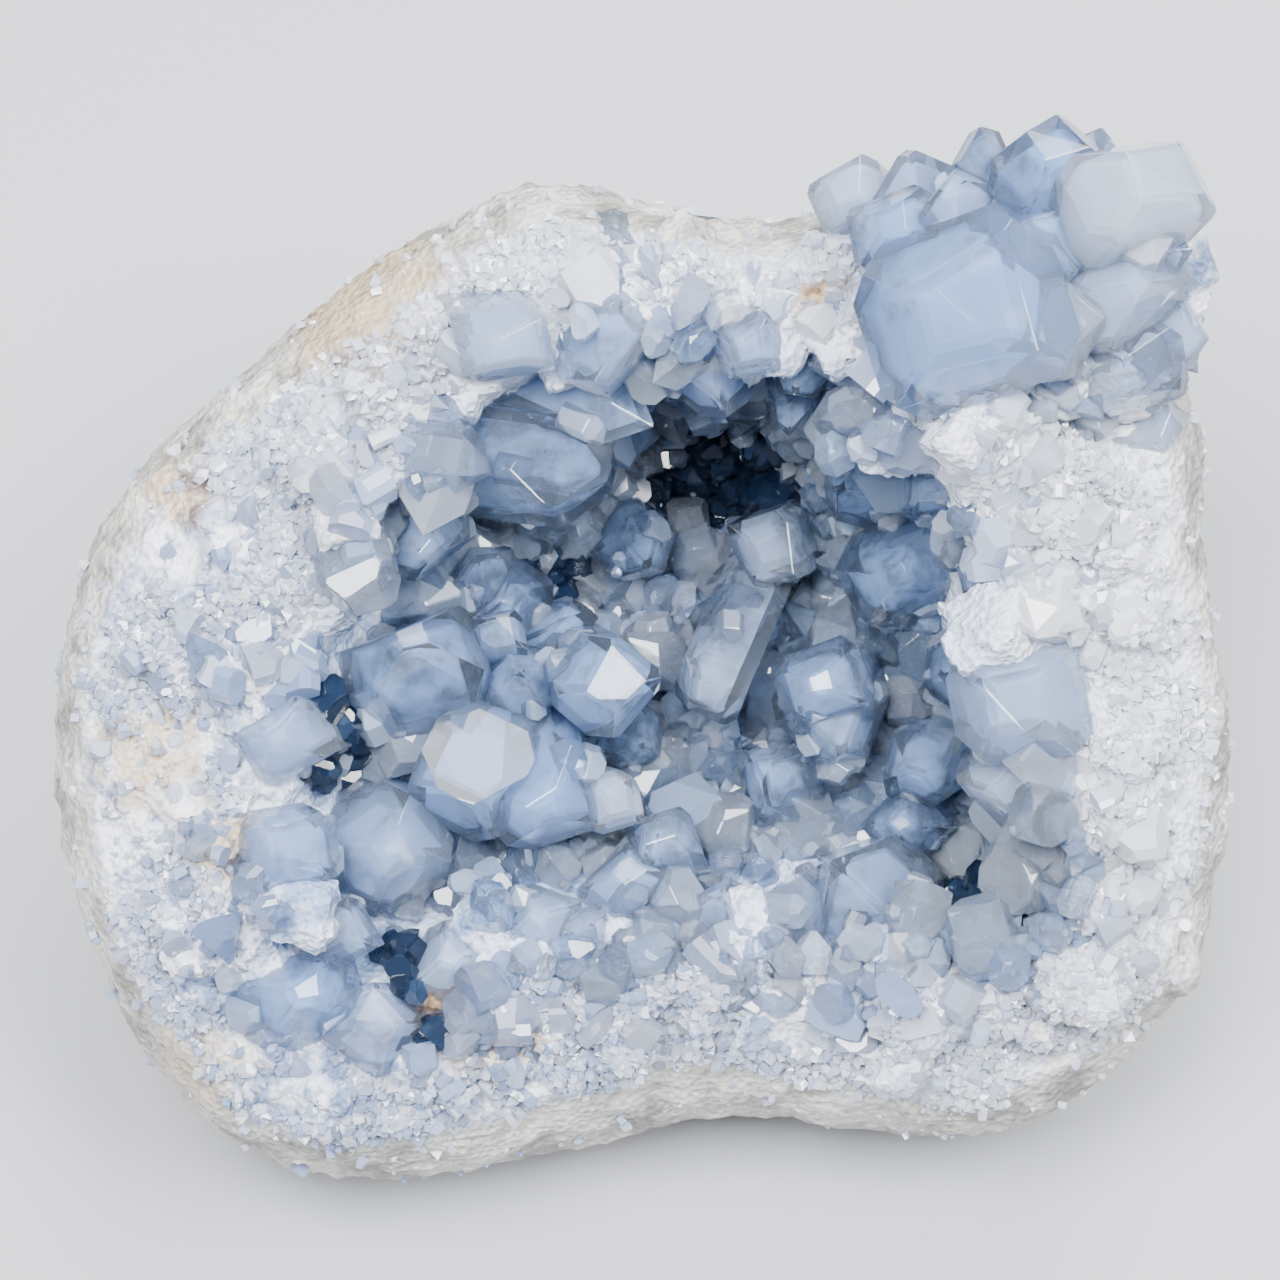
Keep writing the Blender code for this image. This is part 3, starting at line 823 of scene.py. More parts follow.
@dataclass(frozen=True)
class CelestiteFinish:
    """Celestite, strontium sulphate: glassy flat growth faces, here and there frosted, over a
    pale blue clear body that takes a little red out of the light."""

    name: str
    white_hex: str = "#E3EDFB"
    blue_hex: str = "#C6DBF8"
    body_hex: str = "#5C97D2"
    density: float = 0.0
    ior: float = 1.62
    clear_roughness: float = 0.02
    frosted_roughness: float = 0.22
    clearest: float = 0.97
    haziest: float = 0.72
    frost_mm: float = 6.0
    frost_edges: tuple[float, float] = (0.45, 0.72)

    def build(self) -> bpy.types.Material:
        """Makes the material.

        Returns:
            The material.
        """
        material, tree, place = empty_material(self.name)
        haze = add_node(tree, "Attribute", {"attribute_name": "haze"}).outputs["Fac"]
        tint = add_node(tree, "Attribute", {"attribute_name": "tint"}).outputs["Fac"]
        scale = 1 / (self.frost_mm * MM)
        frost = add_node(
            tree, "TexNoise", {"Scale": scale, "Detail": 2.0, "Roughness": 0.6}, {"Vector": place}
        ).outputs["Fac"]
        transmission = add_node(
            tree, "MapRange", {**STEP, 1: 0.0, 2: 1.0, 3: self.clearest, 4: self.haziest}, {0: haze}
        ).outputs[0]
        low, high = self.frost_edges
        roughness = add_node(
            tree, "MapRange",
            {**STEP, 1: low, 2: high, 3: self.clear_roughness, 4: self.frosted_roughness}, {0: frost},
        ).outputs[0]
        ends = {6: linear_colour(self.white_hex), 7: linear_colour(self.blue_hex)}
        colour = add_node(tree, "Mix", {**BLEND, **ends}, {0: tint}).outputs[2]
        shader = add_node(
            tree, "BsdfPrincipled", {"IOR": self.ior, "Metallic": 0.0},
            {"Base Color": colour, "Roughness": roughness, "Transmission Weight": transmission},
        )
        output = add_node(tree, "OutputMaterial", None, {"Surface": shader.outputs[0]})
        if self.density > 0:
            body = {"Color": linear_colour(self.body_hex), "Density": self.density}
            tree.links.new(add_node(tree, "VolumeAbsorption", body).outputs[0], output.inputs["Volume"])
        return material


@dataclass(frozen=True)
class CloudFinish:
    """The milky clouds of tiny flaws and fluid inside the crystals: soft, without gloss, and
    thinning out in wisps."""

    name: str = "milky cloud in celestite"
    white_hex: str = "#DCE7FA"
    blue_hex: str = "#B5D0F6"
    wisp_mm: float = 5.0
    haze_share: float = 0.9
    wisp_edges: tuple[float, float] = (0.35, 0.80)

    def build(self) -> bpy.types.Material:
        """Makes the material.

        Returns:
            The material.
        """
        material, tree, place = empty_material(self.name)
        haze = add_node(tree, "Attribute", {"attribute_name": "haze"}).outputs["Fac"]
        tint = add_node(tree, "Attribute", {"attribute_name": "tint"}).outputs["Fac"]
        scale = 1 / (self.wisp_mm * MM)
        wisp = add_node(
            tree, "TexNoise", {"Scale": scale, "Detail": 3.0, "Roughness": 0.6}, {"Vector": place}
        ).outputs["Fac"]
        thick = add_node(
            tree, "Math", {"operation": "MULTIPLY_ADD", 1: self.haze_share}, {0: haze, 2: wisp}
        ).outputs[0]
        low, high = self.wisp_edges
        alpha = add_node(tree, "MapRange", {**STEP, 1: low, 2: high, 3: 0.0, 4: 1.0}, {0: thick}).outputs[0]
        ends = {6: linear_colour(self.white_hex), 7: linear_colour(self.blue_hex)}
        colour = add_node(tree, "Mix", {**BLEND, **ends}, {0: tint}).outputs[2]
        shader = add_node(
            tree, "BsdfPrincipled",
            {"Metallic": 0.0, "Roughness": 1.0, "Specular IOR Level": 0.0},
            {"Base Color": colour, "Alpha": alpha},
        )
        add_node(tree, "OutputMaterial", None, {"Surface": shader.outputs[0]})
        return material


@dataclass(frozen=True)
class MatrixFinish:
    """Sugary celestite rock: white, finely crystalline and slightly translucent where broken,
    with blue and cream patches, and a dull granular grey skin on the outside. In the hollow it turns
    blue, more so the deeper it lies, which is partly its lining's own colour and partly painted shade,
    and in the gaps it is painted dark blue as shade."""

    name: str = "sugary celestite rock"
    white_hex: str = "#F0F3FB"
    blue_hex: str = "#6F87B0"
    # Blue of the hollow's lining, mixed in more the deeper it lies: partly its own colour, partly painted
    # shade.
    hollow_blue_and_depth_shade_hex: str = "#9AB8E4"
    # Painted shade: the dark blue that the gaps are painted with.
    painted_gap_shade_hex: str = "#223248"
    skin_hex: str = "#CFCDC8"
    skin_dark_hex: str = "#8C8A86"
    cream_hex: str = "#CBB188"
    brown_hex: str = "#76583A"
    patch_mm: float = 7.0
    grain_mm: float = 0.9
    grain_height_mm: float = 0.45

    def build(self) -> bpy.types.Material:
        """Makes the material.

        Returns:
            The material.
        """
        material, tree, place = empty_material(self.name)
        skin, stain, hollow, painted_gap_shade, white = (
            add_node(tree, "Attribute", {"attribute_name": name}).outputs["Fac"]
            for name in ("skin", "stain", "hollow", "painted_gap_shade", "white")
        )
        scale = 1 / (self.patch_mm * MM)
        patch = add_node(
            tree, "TexNoise", {"Scale": scale, "Detail": 4.0, "Roughness": 0.65}, {"Vector": place}
        ).outputs["Fac"]
        grain = add_node(tree, "TexVoronoi", {"Scale": 1 / (self.grain_mm * MM)}, {"Vector": place})
        distance = grain.outputs["Distance"]
        blueness, dust, mud = (
            add_node(tree, "MapRange", {**STEP, 1: low, 2: high, 3: 0.0, 4: 1.0}, {0: patch}).outputs[0]
            for low, high in ((0.42, 0.60), (0.36, 0.62), (0.48, 0.62))
        )
        left = add_node(tree, "Math", {"operation": "MULTIPLY_ADD", 1: -0.8, 2: 1.0}, {0: white}).outputs[0]
        blueness = add_node(tree, "Math", {"operation": "MULTIPLY"}, {0: blueness, 1: left}).outputs[0]
        rock, outside, dirt = (
            add_node(tree, "Mix", {**BLEND, 6: linear_colour(one), 7: linear_colour(other)}, {0: share})
            for one, other, share in (
                (self.white_hex, self.blue_hex, blueness),
                (self.skin_dark_hex, self.skin_hex, dust),
                (self.cream_hex, self.brown_hex, mud),
            )
        )
        # Partly painted shade: the hollow's blue lining, stronger the deeper it lies.
        rock = add_node(
            tree, "Mix", {**BLEND, 7: linear_colour(self.hollow_blue_and_depth_shade_hex)}, {0: hollow, 6: rock.outputs[2]}
        )
        # Painted shade: the rock in the gaps is darkened to deep blue.
        rock = add_node(tree, "Mix", {**BLEND, 7: linear_colour(self.painted_gap_shade_hex)}, {0: painted_gap_shade, 6: rock.outputs[2]})
        colour = add_node(tree, "Mix", BLEND, {0: skin, 6: rock.outputs[2], 7: outside.outputs[2]})
        colour = add_node(tree, "Mix", BLEND, {0: stain, 6: colour.outputs[2], 7: dirt.outputs[2]})
        roughness = add_node(tree, "MapRange", {**STEP, 1: 0.1, 2: 0.6, 3: 0.3, 4: 0.65}, {0: distance})
        bump = add_node(
            tree, "Bump", {"Strength": 1.0, "Distance": self.grain_height_mm * MM}, {"Height": distance}
        )
        shader = add_node(
            tree, "BsdfPrincipled", {"IOR": 1.62, "Metallic": 0.0},
            {
                "Base Color": colour.outputs[2], "Roughness": roughness.outputs[0],
                "Normal": bump.outputs["Normal"],
            },
        )
        add_node(tree, "OutputMaterial", None, {"Surface": shader.outputs[0]})
        return material


@dataclass(frozen=True)
class Finishes:
    """Every material of the geode, each made once.

    clear is for the large crystals, into which one sees as far as their milky clouds, milk.
    cloudy is for the smaller ones, which glow pale blue without showing what is behind them.
    broken is for the fractured rim, where many inner cracks turn the blue nearly white, and deep
    for the crystals in the gaps, whose dark blue is painted shade.
    """

    clear: bpy.types.Material = field(
        default_factory=CelestiteFinish("clear blue celestite", density=3.3).build
    )
    cloudy: bpy.types.Material = field(default_factory=CelestiteFinish(
        "cloudy blue celestite", clearest=0.88, haziest=0.3, white_hex="#DFEAFB", blue_hex="#B7D2F7"
    ).build)
    broken: bpy.types.Material = field(default_factory=CelestiteFinish(
        "broken white celestite", clearest=0.7, haziest=0.25, white_hex="#F0F3FB", blue_hex="#9CB3DB"
    ).build)
    # Painted shade: the crystals in the gaps get a dark blue.
    deep: bpy.types.Material = field(default_factory=CelestiteFinish(
        "celestite painted dark as gap shade", clearest=0.9, haziest=0.6, white_hex="#465F85", blue_hex="#34507A"
    ).build)
    milk: bpy.types.Material = field(default_factory=CloudFinish().build)
    rock: bpy.types.Material = field(default_factory=MatrixFinish().build)


def dress(piece: bpy.types.Object, material: bpy.types.Material, slot: str, *replaced: str) -> None:
    """Finishes a piece and ties it to the frame.

    Args:
        piece: The piece.
        material: Its only material.
        slot: The record's material slot that it belongs to; not used.
        replaced: The CAD nodes that it stands for.
    """
    piece.data.materials.clear()
    piece.data.materials.append(material)
    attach(piece, BODY)
    for node in replaced:
        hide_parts(node)
    triangles = sum(len(face.vertices) - 2 for face in piece.data.polygons)
    LOG.info("%s: %d triangles", piece.name, triangles)


@dataclass
class GeodeWall:
    """The stone wall: granular skin outside, broken sugary rim, and the rock behind the hollow's
    crystals, all one surface made from the CAD wall."""

    voxel: float = 0.62
    skin_rounds: int = 60
    rock_rounds: int = 1
    most_triangles: int = 192000
    crease: float = math.radians(28)
    block_count: int = 1000
    block_least: float = 2.6
    block_spread: float = 8.5
    block_shake: float = 0.9
    rock_facets: tuple[tuple[float, float], ...] = ((3.0, 0.35), (1.6, 0.2))
    facet_tilt: float = 0.34
    skin_lumps: tuple[tuple[float, float], ...] = ((0.7, 9.0), (0.6, 3.4), (0.4, 1.5))
    grit_size: float = 1.9
    grit_height: float = 0.7
    stains: tuple[tuple[float, float, float, float], ...] = (
        (20.0, 37.5, 3.0, 1.0), (-21.0, -36.5, 5.5, 1.0), (-17.0, -43.0, 6.0, 0.6),
        (-54.0, -13.0, 6.0, 0.7), (-31.0, 34.0, 7.0, 0.7), (-50.0, 16.0, 4.0, 0.75),
        (-46.0, -22.0, 5.0, 0.75), (-29.0, 12.0, 4.0, 0.7), (-47.0, -46.0, 5.0, 0.5),
        (45.0, -42.0, 4.0, 0.3), (-26.0, 40.0, 5.0, 0.6),
    )

    def build(
        self, shapes: SmallShapes, crystals: Sequence[Crystal], finishes: Finishes
    ) -> bpy.types.Object:
        """Makes the wall from a copy of its CAD node.

        Args:
            shapes: The broken crystals that the rim is grown together from.
            crystals: The large crystals, which stay clear of them.
            finishes: The materials.

        Returns:
            The wall, with its zones stored as attributes.
        """
        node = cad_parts["matrix_shell"]
        made = bpy.data.objects.new("geode_wall", node.data.copy())
        bpy.context.scene.collection.objects.link(made)
        select_only(made)
        edit_all()
        bpy.ops.mesh.remove_doubles(threshold=0.001 * MM)
        bpy.ops.object.mode_set(mode="OBJECT")
        made.data.materials.clear()
        made = join_all([made, self._blocks(Surface.of(made), shapes.plain, crystals)], "geode_wall")
        step = made.modifiers.new("grown together", "REMESH")
        step.mode = "VOXEL"
        step.voxel_size = self.voxel * MM
        bpy.ops.object.modifier_apply(modifier=step.name)
        self._smooth(made)
        self._weather(made)
        select_only(made)
        bpy.ops.object.shade_smooth_by_angle(angle=self.crease)
        dress(made, finishes.rock, "matrix", "matrix_shell")
        return made

    def _blocks(
        self, surface: Surface, models: Sequence[Model], crystals: Sequence[Crystal]
    ) -> bpy.types.Object:
        """The broken crystals of the rim, larger towards the hollow, sunk in the rock.

        Args:
            surface: The CAD wall's faces.
            models: What is copied.
            crystals: The large crystals, which stay clear of the blocks.

        Returns:
            One object with all the blocks.
        """
        chance = random.Random(11)
        swarm = Swarm(models)
        zones = surface.zones()
        places, normals, nearness = surface.scatter(self.block_count, zones["rim"], 12, zones["inward"])
        taken = np.maximum(room_for(crystals, places), gaps_at(places))
        for place, normal, near, full in zip(places, normals, nearness, taken):
            if full > 0.5:
                continue
            size = (self.block_least + self.block_spread * chance.random() ** 1.6) * (0.32 + 0.68 * near)
            turn = shaken_turn(normal, self.block_shake, size, chance)
            turn = turn * np.array([1.0, chance.uniform(0.6, 0.95), chance.uniform(0.7, 1.0)])
            rise = size * chance.uniform(0.08, 0.36) * MM
            swarm.add(chance.randrange(99), turn, place + normal * rise, 0.0, 0.0)
        return swarm.build("rim_blocks")

    def _smooth(self, made: bpy.types.Object) -> None:
        """Smooths the outer skin, and thins its mesh until the wall has few enough triangles.

        Args:
            made: The wall.
        """
        mesh = made.data
        count = len(mesh.vertices)
        points = np.empty(count * 3)
        mesh.vertices.foreach_get("co", points)
        points = points.reshape(-1, 3)
        edges = np.empty(len(mesh.edges) * 2, dtype=np.int32)
        mesh.edges.foreach_get("vertices", edges)
        edges = edges.reshape(-1, 2)
        points = self._relax(points, edges, self.rock_rounds, np.ones(count))
        skin = WALL_FORM.zones(points, self._normals(made, points))["skin"]
        points = self._relax(points, edges, self.skin_rounds, skin)
        self._normals(made, points)
        group = made.vertex_groups.new(name="skin")
        for index in np.flatnonzero(skin > 0.5).tolist():
            group.add([index], 1.0, "REPLACE")
        triangles = sum(len(face.vertices) - 2 for face in mesh.polygons)
        step = made.modifiers.new("thin skin", "DECIMATE")
        step.ratio = min(1.0, self.most_triangles / triangles)
        step.vertex_group = group.name
        bpy.ops.object.modifier_apply(modifier=step.name)
        made.vertex_groups.clear()

    def _weather(self, made: bpy.types.Object) -> None:
        """Breaks the surface into facets and grit, and stores the zones.

        Args:
            made: The wall.
        """
        mesh = made.data
        points = np.empty(len(mesh.vertices) * 3)
        mesh.vertices.foreach_get("co", points)
        points = points.reshape(-1, 3)
        normals = self._normals(made, points)
        zones = WALL_FORM.zones(points, normals)
        points = points + normals * self._relief(points, zones)[:, None] * MM
        points[:, 2] = np.maximum(points[:, 2], 0.0)
        self._normals(made, points)
        set_values(mesh, "skin", zones["skin"])
        # How much of the hollow's blue is mixed in grows with depth, partly as painted shade.
        set_values(mesh, "hollow", zones["hollow"] * np.clip(0.35 + zones["depth"] / 30, 0, 1))
        # Painted shade in the gaps, off the outer skin.
        set_values(mesh, "painted_gap_shade", gaps_at(points) * (1 - zones["skin"]))
        set_values(mesh, "stain", self.stain(points) * (1 - zones["hollow"]))
        set_values(mesh, "white", WALL_FORM.whiteness(points))

    @staticmethod
    def _normals(made: bpy.types.Object, points: np.ndarray) -> np.ndarray:
        """Moves the wall's points to new places, and returns the normals there.

        Args:
            made: The wall.
            points: The new places in metres, one row for each.

        Returns:
            The normals, one row for each.
        """
        made.data.vertices.foreach_set("co", points.ravel())
        made.data.update()
        normals = np.empty(points.size)
        made.data.vertices.foreach_get("normal", normals)
        return normals.reshape(-1, 3)

    @staticmethod
    def _relax(points: np.ndarray, edges: np.ndarray, rounds: int, share: np.ndarray) -> np.ndarray:
        """Moves each point towards the middle of its neighbours, over and over.

        Args:
            points: Places in metres, one row for each.
            edges: The two ends of each edge.
            rounds: How often.
            share: How much of the way each point goes, from zero to one.

        Returns:
            The new places.
        """
        count = len(points)
        ends = np.concatenate([edges[:, 0], edges[:, 1]])
        others = np.concatenate([edges[:, 1], edges[:, 0]])
        neighbours = np.bincount(ends, minlength=count)[:, None]
        for _ in range(rounds):
            sums = [np.bincount(ends, weights=points[others, axis], minlength=count) for axis in range(3)]
            points = points + 0.5 * share[:, None] * (np.stack(sums, axis=1) / neighbours - points)
        return points

    def _relief(self, points: np.ndarray, zones: dict[str, np.ndarray]) -> np.ndarray:
        """How far each point stands out, in millimetres.

        Args:
            points: Places in metres, one row for each.
            zones: The wall's zones there.

        Returns:
            The rise at each point.
        """
        rise = np.zeros(len(points))
        skin, rim = zones["skin"], 1.0 - zones["skin"]
        for index, place in enumerate(points / MM):
            here = Vector(place)
            total = 0.0
            if rim[index] > 0.02:
                for size, height in self.rock_facets:
                    cell = noise.voronoi(here / size)[1][0]
                    way = noise.noise_vector(cell * 3.17)
                    total += height * way.x * 1.6 + self.facet_tilt * way.dot(here - cell * size)
                total *= rim[index]
            if skin[index] > 0.02:
                lumps = sum(height * noise.noise(here / size) for height, size in self.skin_lumps)
                grit = 0.35 - noise.voronoi(here / self.grit_size)[0][0]
                total += skin[index] * (lumps + self.grit_height * grit)
            rise[index] = total
        return rise

    def stain(self, points: np.ndarray) -> np.ndarray:
        """How much cream and brown dirt lies at each point, in named patches with ragged edges.

        Args:
            points: Places in metres, one row for each.

        Returns:
            The share of dirt at each point, from zero to one.
        """
        x, u, _ = OPENING.measure(points)
        total = np.zeros(len(points))
        for centre_x, centre_u, radius, strength in self.stains:
            far = np.hypot(x - centre_x, u - centre_u) / radius
            near = far < 1.6
            ragged = np.array([noise.noise(Vector(place) / (2.5 * MM)) for place in points[near]])
            total[near] = np.maximum(total[near], strength * smooth_step(1.3, 0.5, far[near] + 0.7 * ragged))
        return total


@dataclass
class Ground:
    """The finished wall's faces, with how likely each kind of growth is on each of them."""

    surface: Surface
    inward: np.ndarray
    sugar: np.ndarray
    chunks: np.ndarray
    hollow: np.ndarray
    druse: np.ndarray
    gaps: np.ndarray

    @classmethod
    def of(cls, geode: GeodeWall, wall: bpy.types.Object, crystals: Sequence[Crystal]) -> "Ground":
        """Reads the wall.

        Args:
            geode: What the wall was made by, which knows where its stains are.
            wall: The wall.
            crystals: The large crystals, whose tips small growth leaves free.

        Returns:
            The wall's faces and their weights.
        """
        surface = Surface.of(wall)
        zones, corner = surface.zones(), surface.corners[:, 0]
        gaps, lip = gaps_at(corner), smooth_step(-9.0, -3.0, OPENING.measure(corner)[2])
        room = 1 - lip * room_for(crystals, corner)
        free = (gaps < 0.05) * room
        upward = surface.normals @ np.array(OPENING.out) > -0.1
        sugary = patches(corner, 9.0) * (1 - geode.stain(corner))
        loose = 0.012 * zones["skin"] * (surface.normals[:, 2] > -0.2)
        return cls(
            surface,
            zones["inward"],
            sugar=zones["rim"] * sugary * free * upward + loose,
            chunks=zones["rim"] * (0.4 + zones["inward"]) * free * upward,
            hollow=zones["hollow"] * free,
            druse=zones["hollow"] * room * (gaps < 0.5),
            gaps=(zones["hollow"] + zones["rim"]) * (gaps >= 0.5),
        )


@dataclass
class RimDebris:
    """The broken chunks and sugary grains that the rim is made of, paler where it is powdery."""

    chunk_count: int = 1300
    chunk_least: float = 1.5
    chunk_spread: float = 5.5
    chunk_shake: float = 1.1
    outer_share: float = 0.35
    grain_count: int = 13000
    grain_least: float = 0.4
    grain_spread: float = 0.95
    grain_shake: float = 1.0

    def build(self, ground: Ground, shapes: SmallShapes, finishes: Finishes) -> None:
        """Builds and dresses the chunks and the grains."""
        dress(self._chunks(ground, shapes.plain), finishes.broken, "matrix")
        dress(self._grains(ground, shapes.grains), finishes.broken, "matrix")

    def _chunks(self, ground: Ground, models: Sequence[Model]) -> bpy.types.Object:
        """Sets translucent blue-white chunks in the rim, the larger ones towards the hollow.

        Args:
            ground: Where they may lie.
            models: What is copied.

        Returns:
            One object with all the chunks.
        """
        chance = random.Random(21)
        swarm = Swarm(models)
        scattered = ground.surface.scatter(self.chunk_count, ground.chunks, 22, ground.inward)
        for place, normal, near, white in zip(*scattered, WALL_FORM.whiteness(scattered[0])):
            size = self.chunk_least + self.chunk_spread * chance.random() ** 2
            size = size * (self.outer_share + (1 - self.outer_share) * near)
            turn = shaken_turn(normal, self.chunk_shake, size, chance)
            turn = turn * np.array([1.0, chance.uniform(0.55, 0.95), chance.uniform(0.6, 1.0)])
            rise = size * chance.uniform(-0.02, 0.32) * MM
            haze = min(1.0, max(0.0, 0.9 * chance.random() - 0.2 * near) + 0.4 * white)
            tint = chance.random() * (0.4 + 0.6 * near) + 0.5 - 0.75 * white
            swarm.add(chance.randrange(99), turn, place + normal * rise, haze, min(1.0, max(0.0, tint)))
        return swarm.build("rim_chunks")

    def _grains(self, ground: Ground, models: Sequence[Model]) -> bpy.types.Object:
        """Scatters the fine sugary grains over the rim.

        Args:
            ground: Where they may lie.
            models: What is copied.

        Returns:
            One object with all the grains.
        """
        chance = random.Random(31)
        swarm = Swarm(models)
        places, normals, _ = ground.surface.scatter(self.grain_count, ground.sugar, 32, ground.sugar)
        for place, normal, white in zip(places, normals, WALL_FORM.whiteness(places)):
            size = self.grain_least + self.grain_spread * chance.random() ** 2
            turn = shaken_turn(normal, self.grain_shake, size, chance)
            rise = size * chance.uniform(0.1, 0.45) * MM
            haze = chance.uniform(0.4 + 0.4 * white, 1.0)
            tint = (1.0 - 0.8 * white) * chance.random()
            swarm.add(chance.randrange(99), turn, place + normal * rise, haze, tint)
        return swarm.build("rim_sugar")


@dataclass
class CrystalGroup:
    """Large crystals that are cut one by one, the milky clouds inside them, and the smaller
    crystals that have grown on their sides, nearly parallel to them.

    The ranges of the side growth are shares of its parent's width.
    """

    prefix: str = "group"
    first_seed: int = 0
    side_seed: int = 0
    large: tuple[Crystal, ...] = ()
    cutter: CrystalCutter = field(default_factory=CrystalCutter)
    least_parent: float = 7.0
    sides_each: int = 3
    side_widths: tuple[float, float] = (0.22, 0.44)
    side_reach: tuple[float, float] = (0.30, 0.46)
    side_depth: tuple[float, float] = (0.25, 0.85)

    def large_crystals(self) -> bpy.types.Object:
        """Cuts the large crystals and joins them.

        Returns:
            One object with all of them.
        """
        rows = enumerate(self.large, self.first_seed)
        cut = [self.cutter.cut(row, seed, "large") for seed, row in rows]
        return join_all(cut, f"{self.prefix}_large_crystals")

    def clouds(self) -> bpy.types.Object:
        """Makes the milky clouds inside the large crystals.

        Returns:
            One object with all of them.
        """
        rows = enumerate(self.large, self.first_seed)
        made = [self.cutter.cloud(row, seed, "cloud") for seed, row in rows]
        return join_all(made, f"{self.prefix}_crystal_clouds")

    def side_crystals(self, models: Sequence[Model]) -> bpy.types.Object:
        """Makes the smaller crystals on the sides of the large ones.

        Args:
            models: What is copied.

        Returns:
            One object with all of them.
        """
        chance = random.Random(self.side_seed)
        swarm = Swarm(models)
        for parent in self.large:
            if parent.width < self.least_parent:
                continue
            placed = parent.frame()
            for _ in range(self.sides_each):
                size = parent.width * chance.uniform(*self.side_widths)
                way = chance.uniform(0, math.tau)
                reach = chance.uniform(*self.side_reach)
                side = Vector((
                    math.cos(way) * reach * parent.width, math.sin(way) * reach * parent.thickness,
                    -chance.uniform(*self.side_depth) * parent.width,
                )) * MM
                hinge = Vector((math.cos(way), math.sin(way), 0))
                tilt = Matrix.Rotation(math.radians(chance.uniform(-16, 16)), 3, hinge)
                spin = math.radians(chance.choice((0, 90, 45)) + chance.uniform(-8, 8))
                turn = np.array(placed.to_3x3() @ tilt @ Matrix.Rotation(spin, 3, "Z")) * size * MM
                haze = min(1.0, parent.haze + chance.uniform(0.0, 0.4))
                number, tint = chance.randrange(99), parent.tint * chance.uniform(0.6, 1.0)
                swarm.add(number, turn, np.array(placed @ side), haze, tint)
        return swarm.build(f"{self.prefix}_side_crystals")


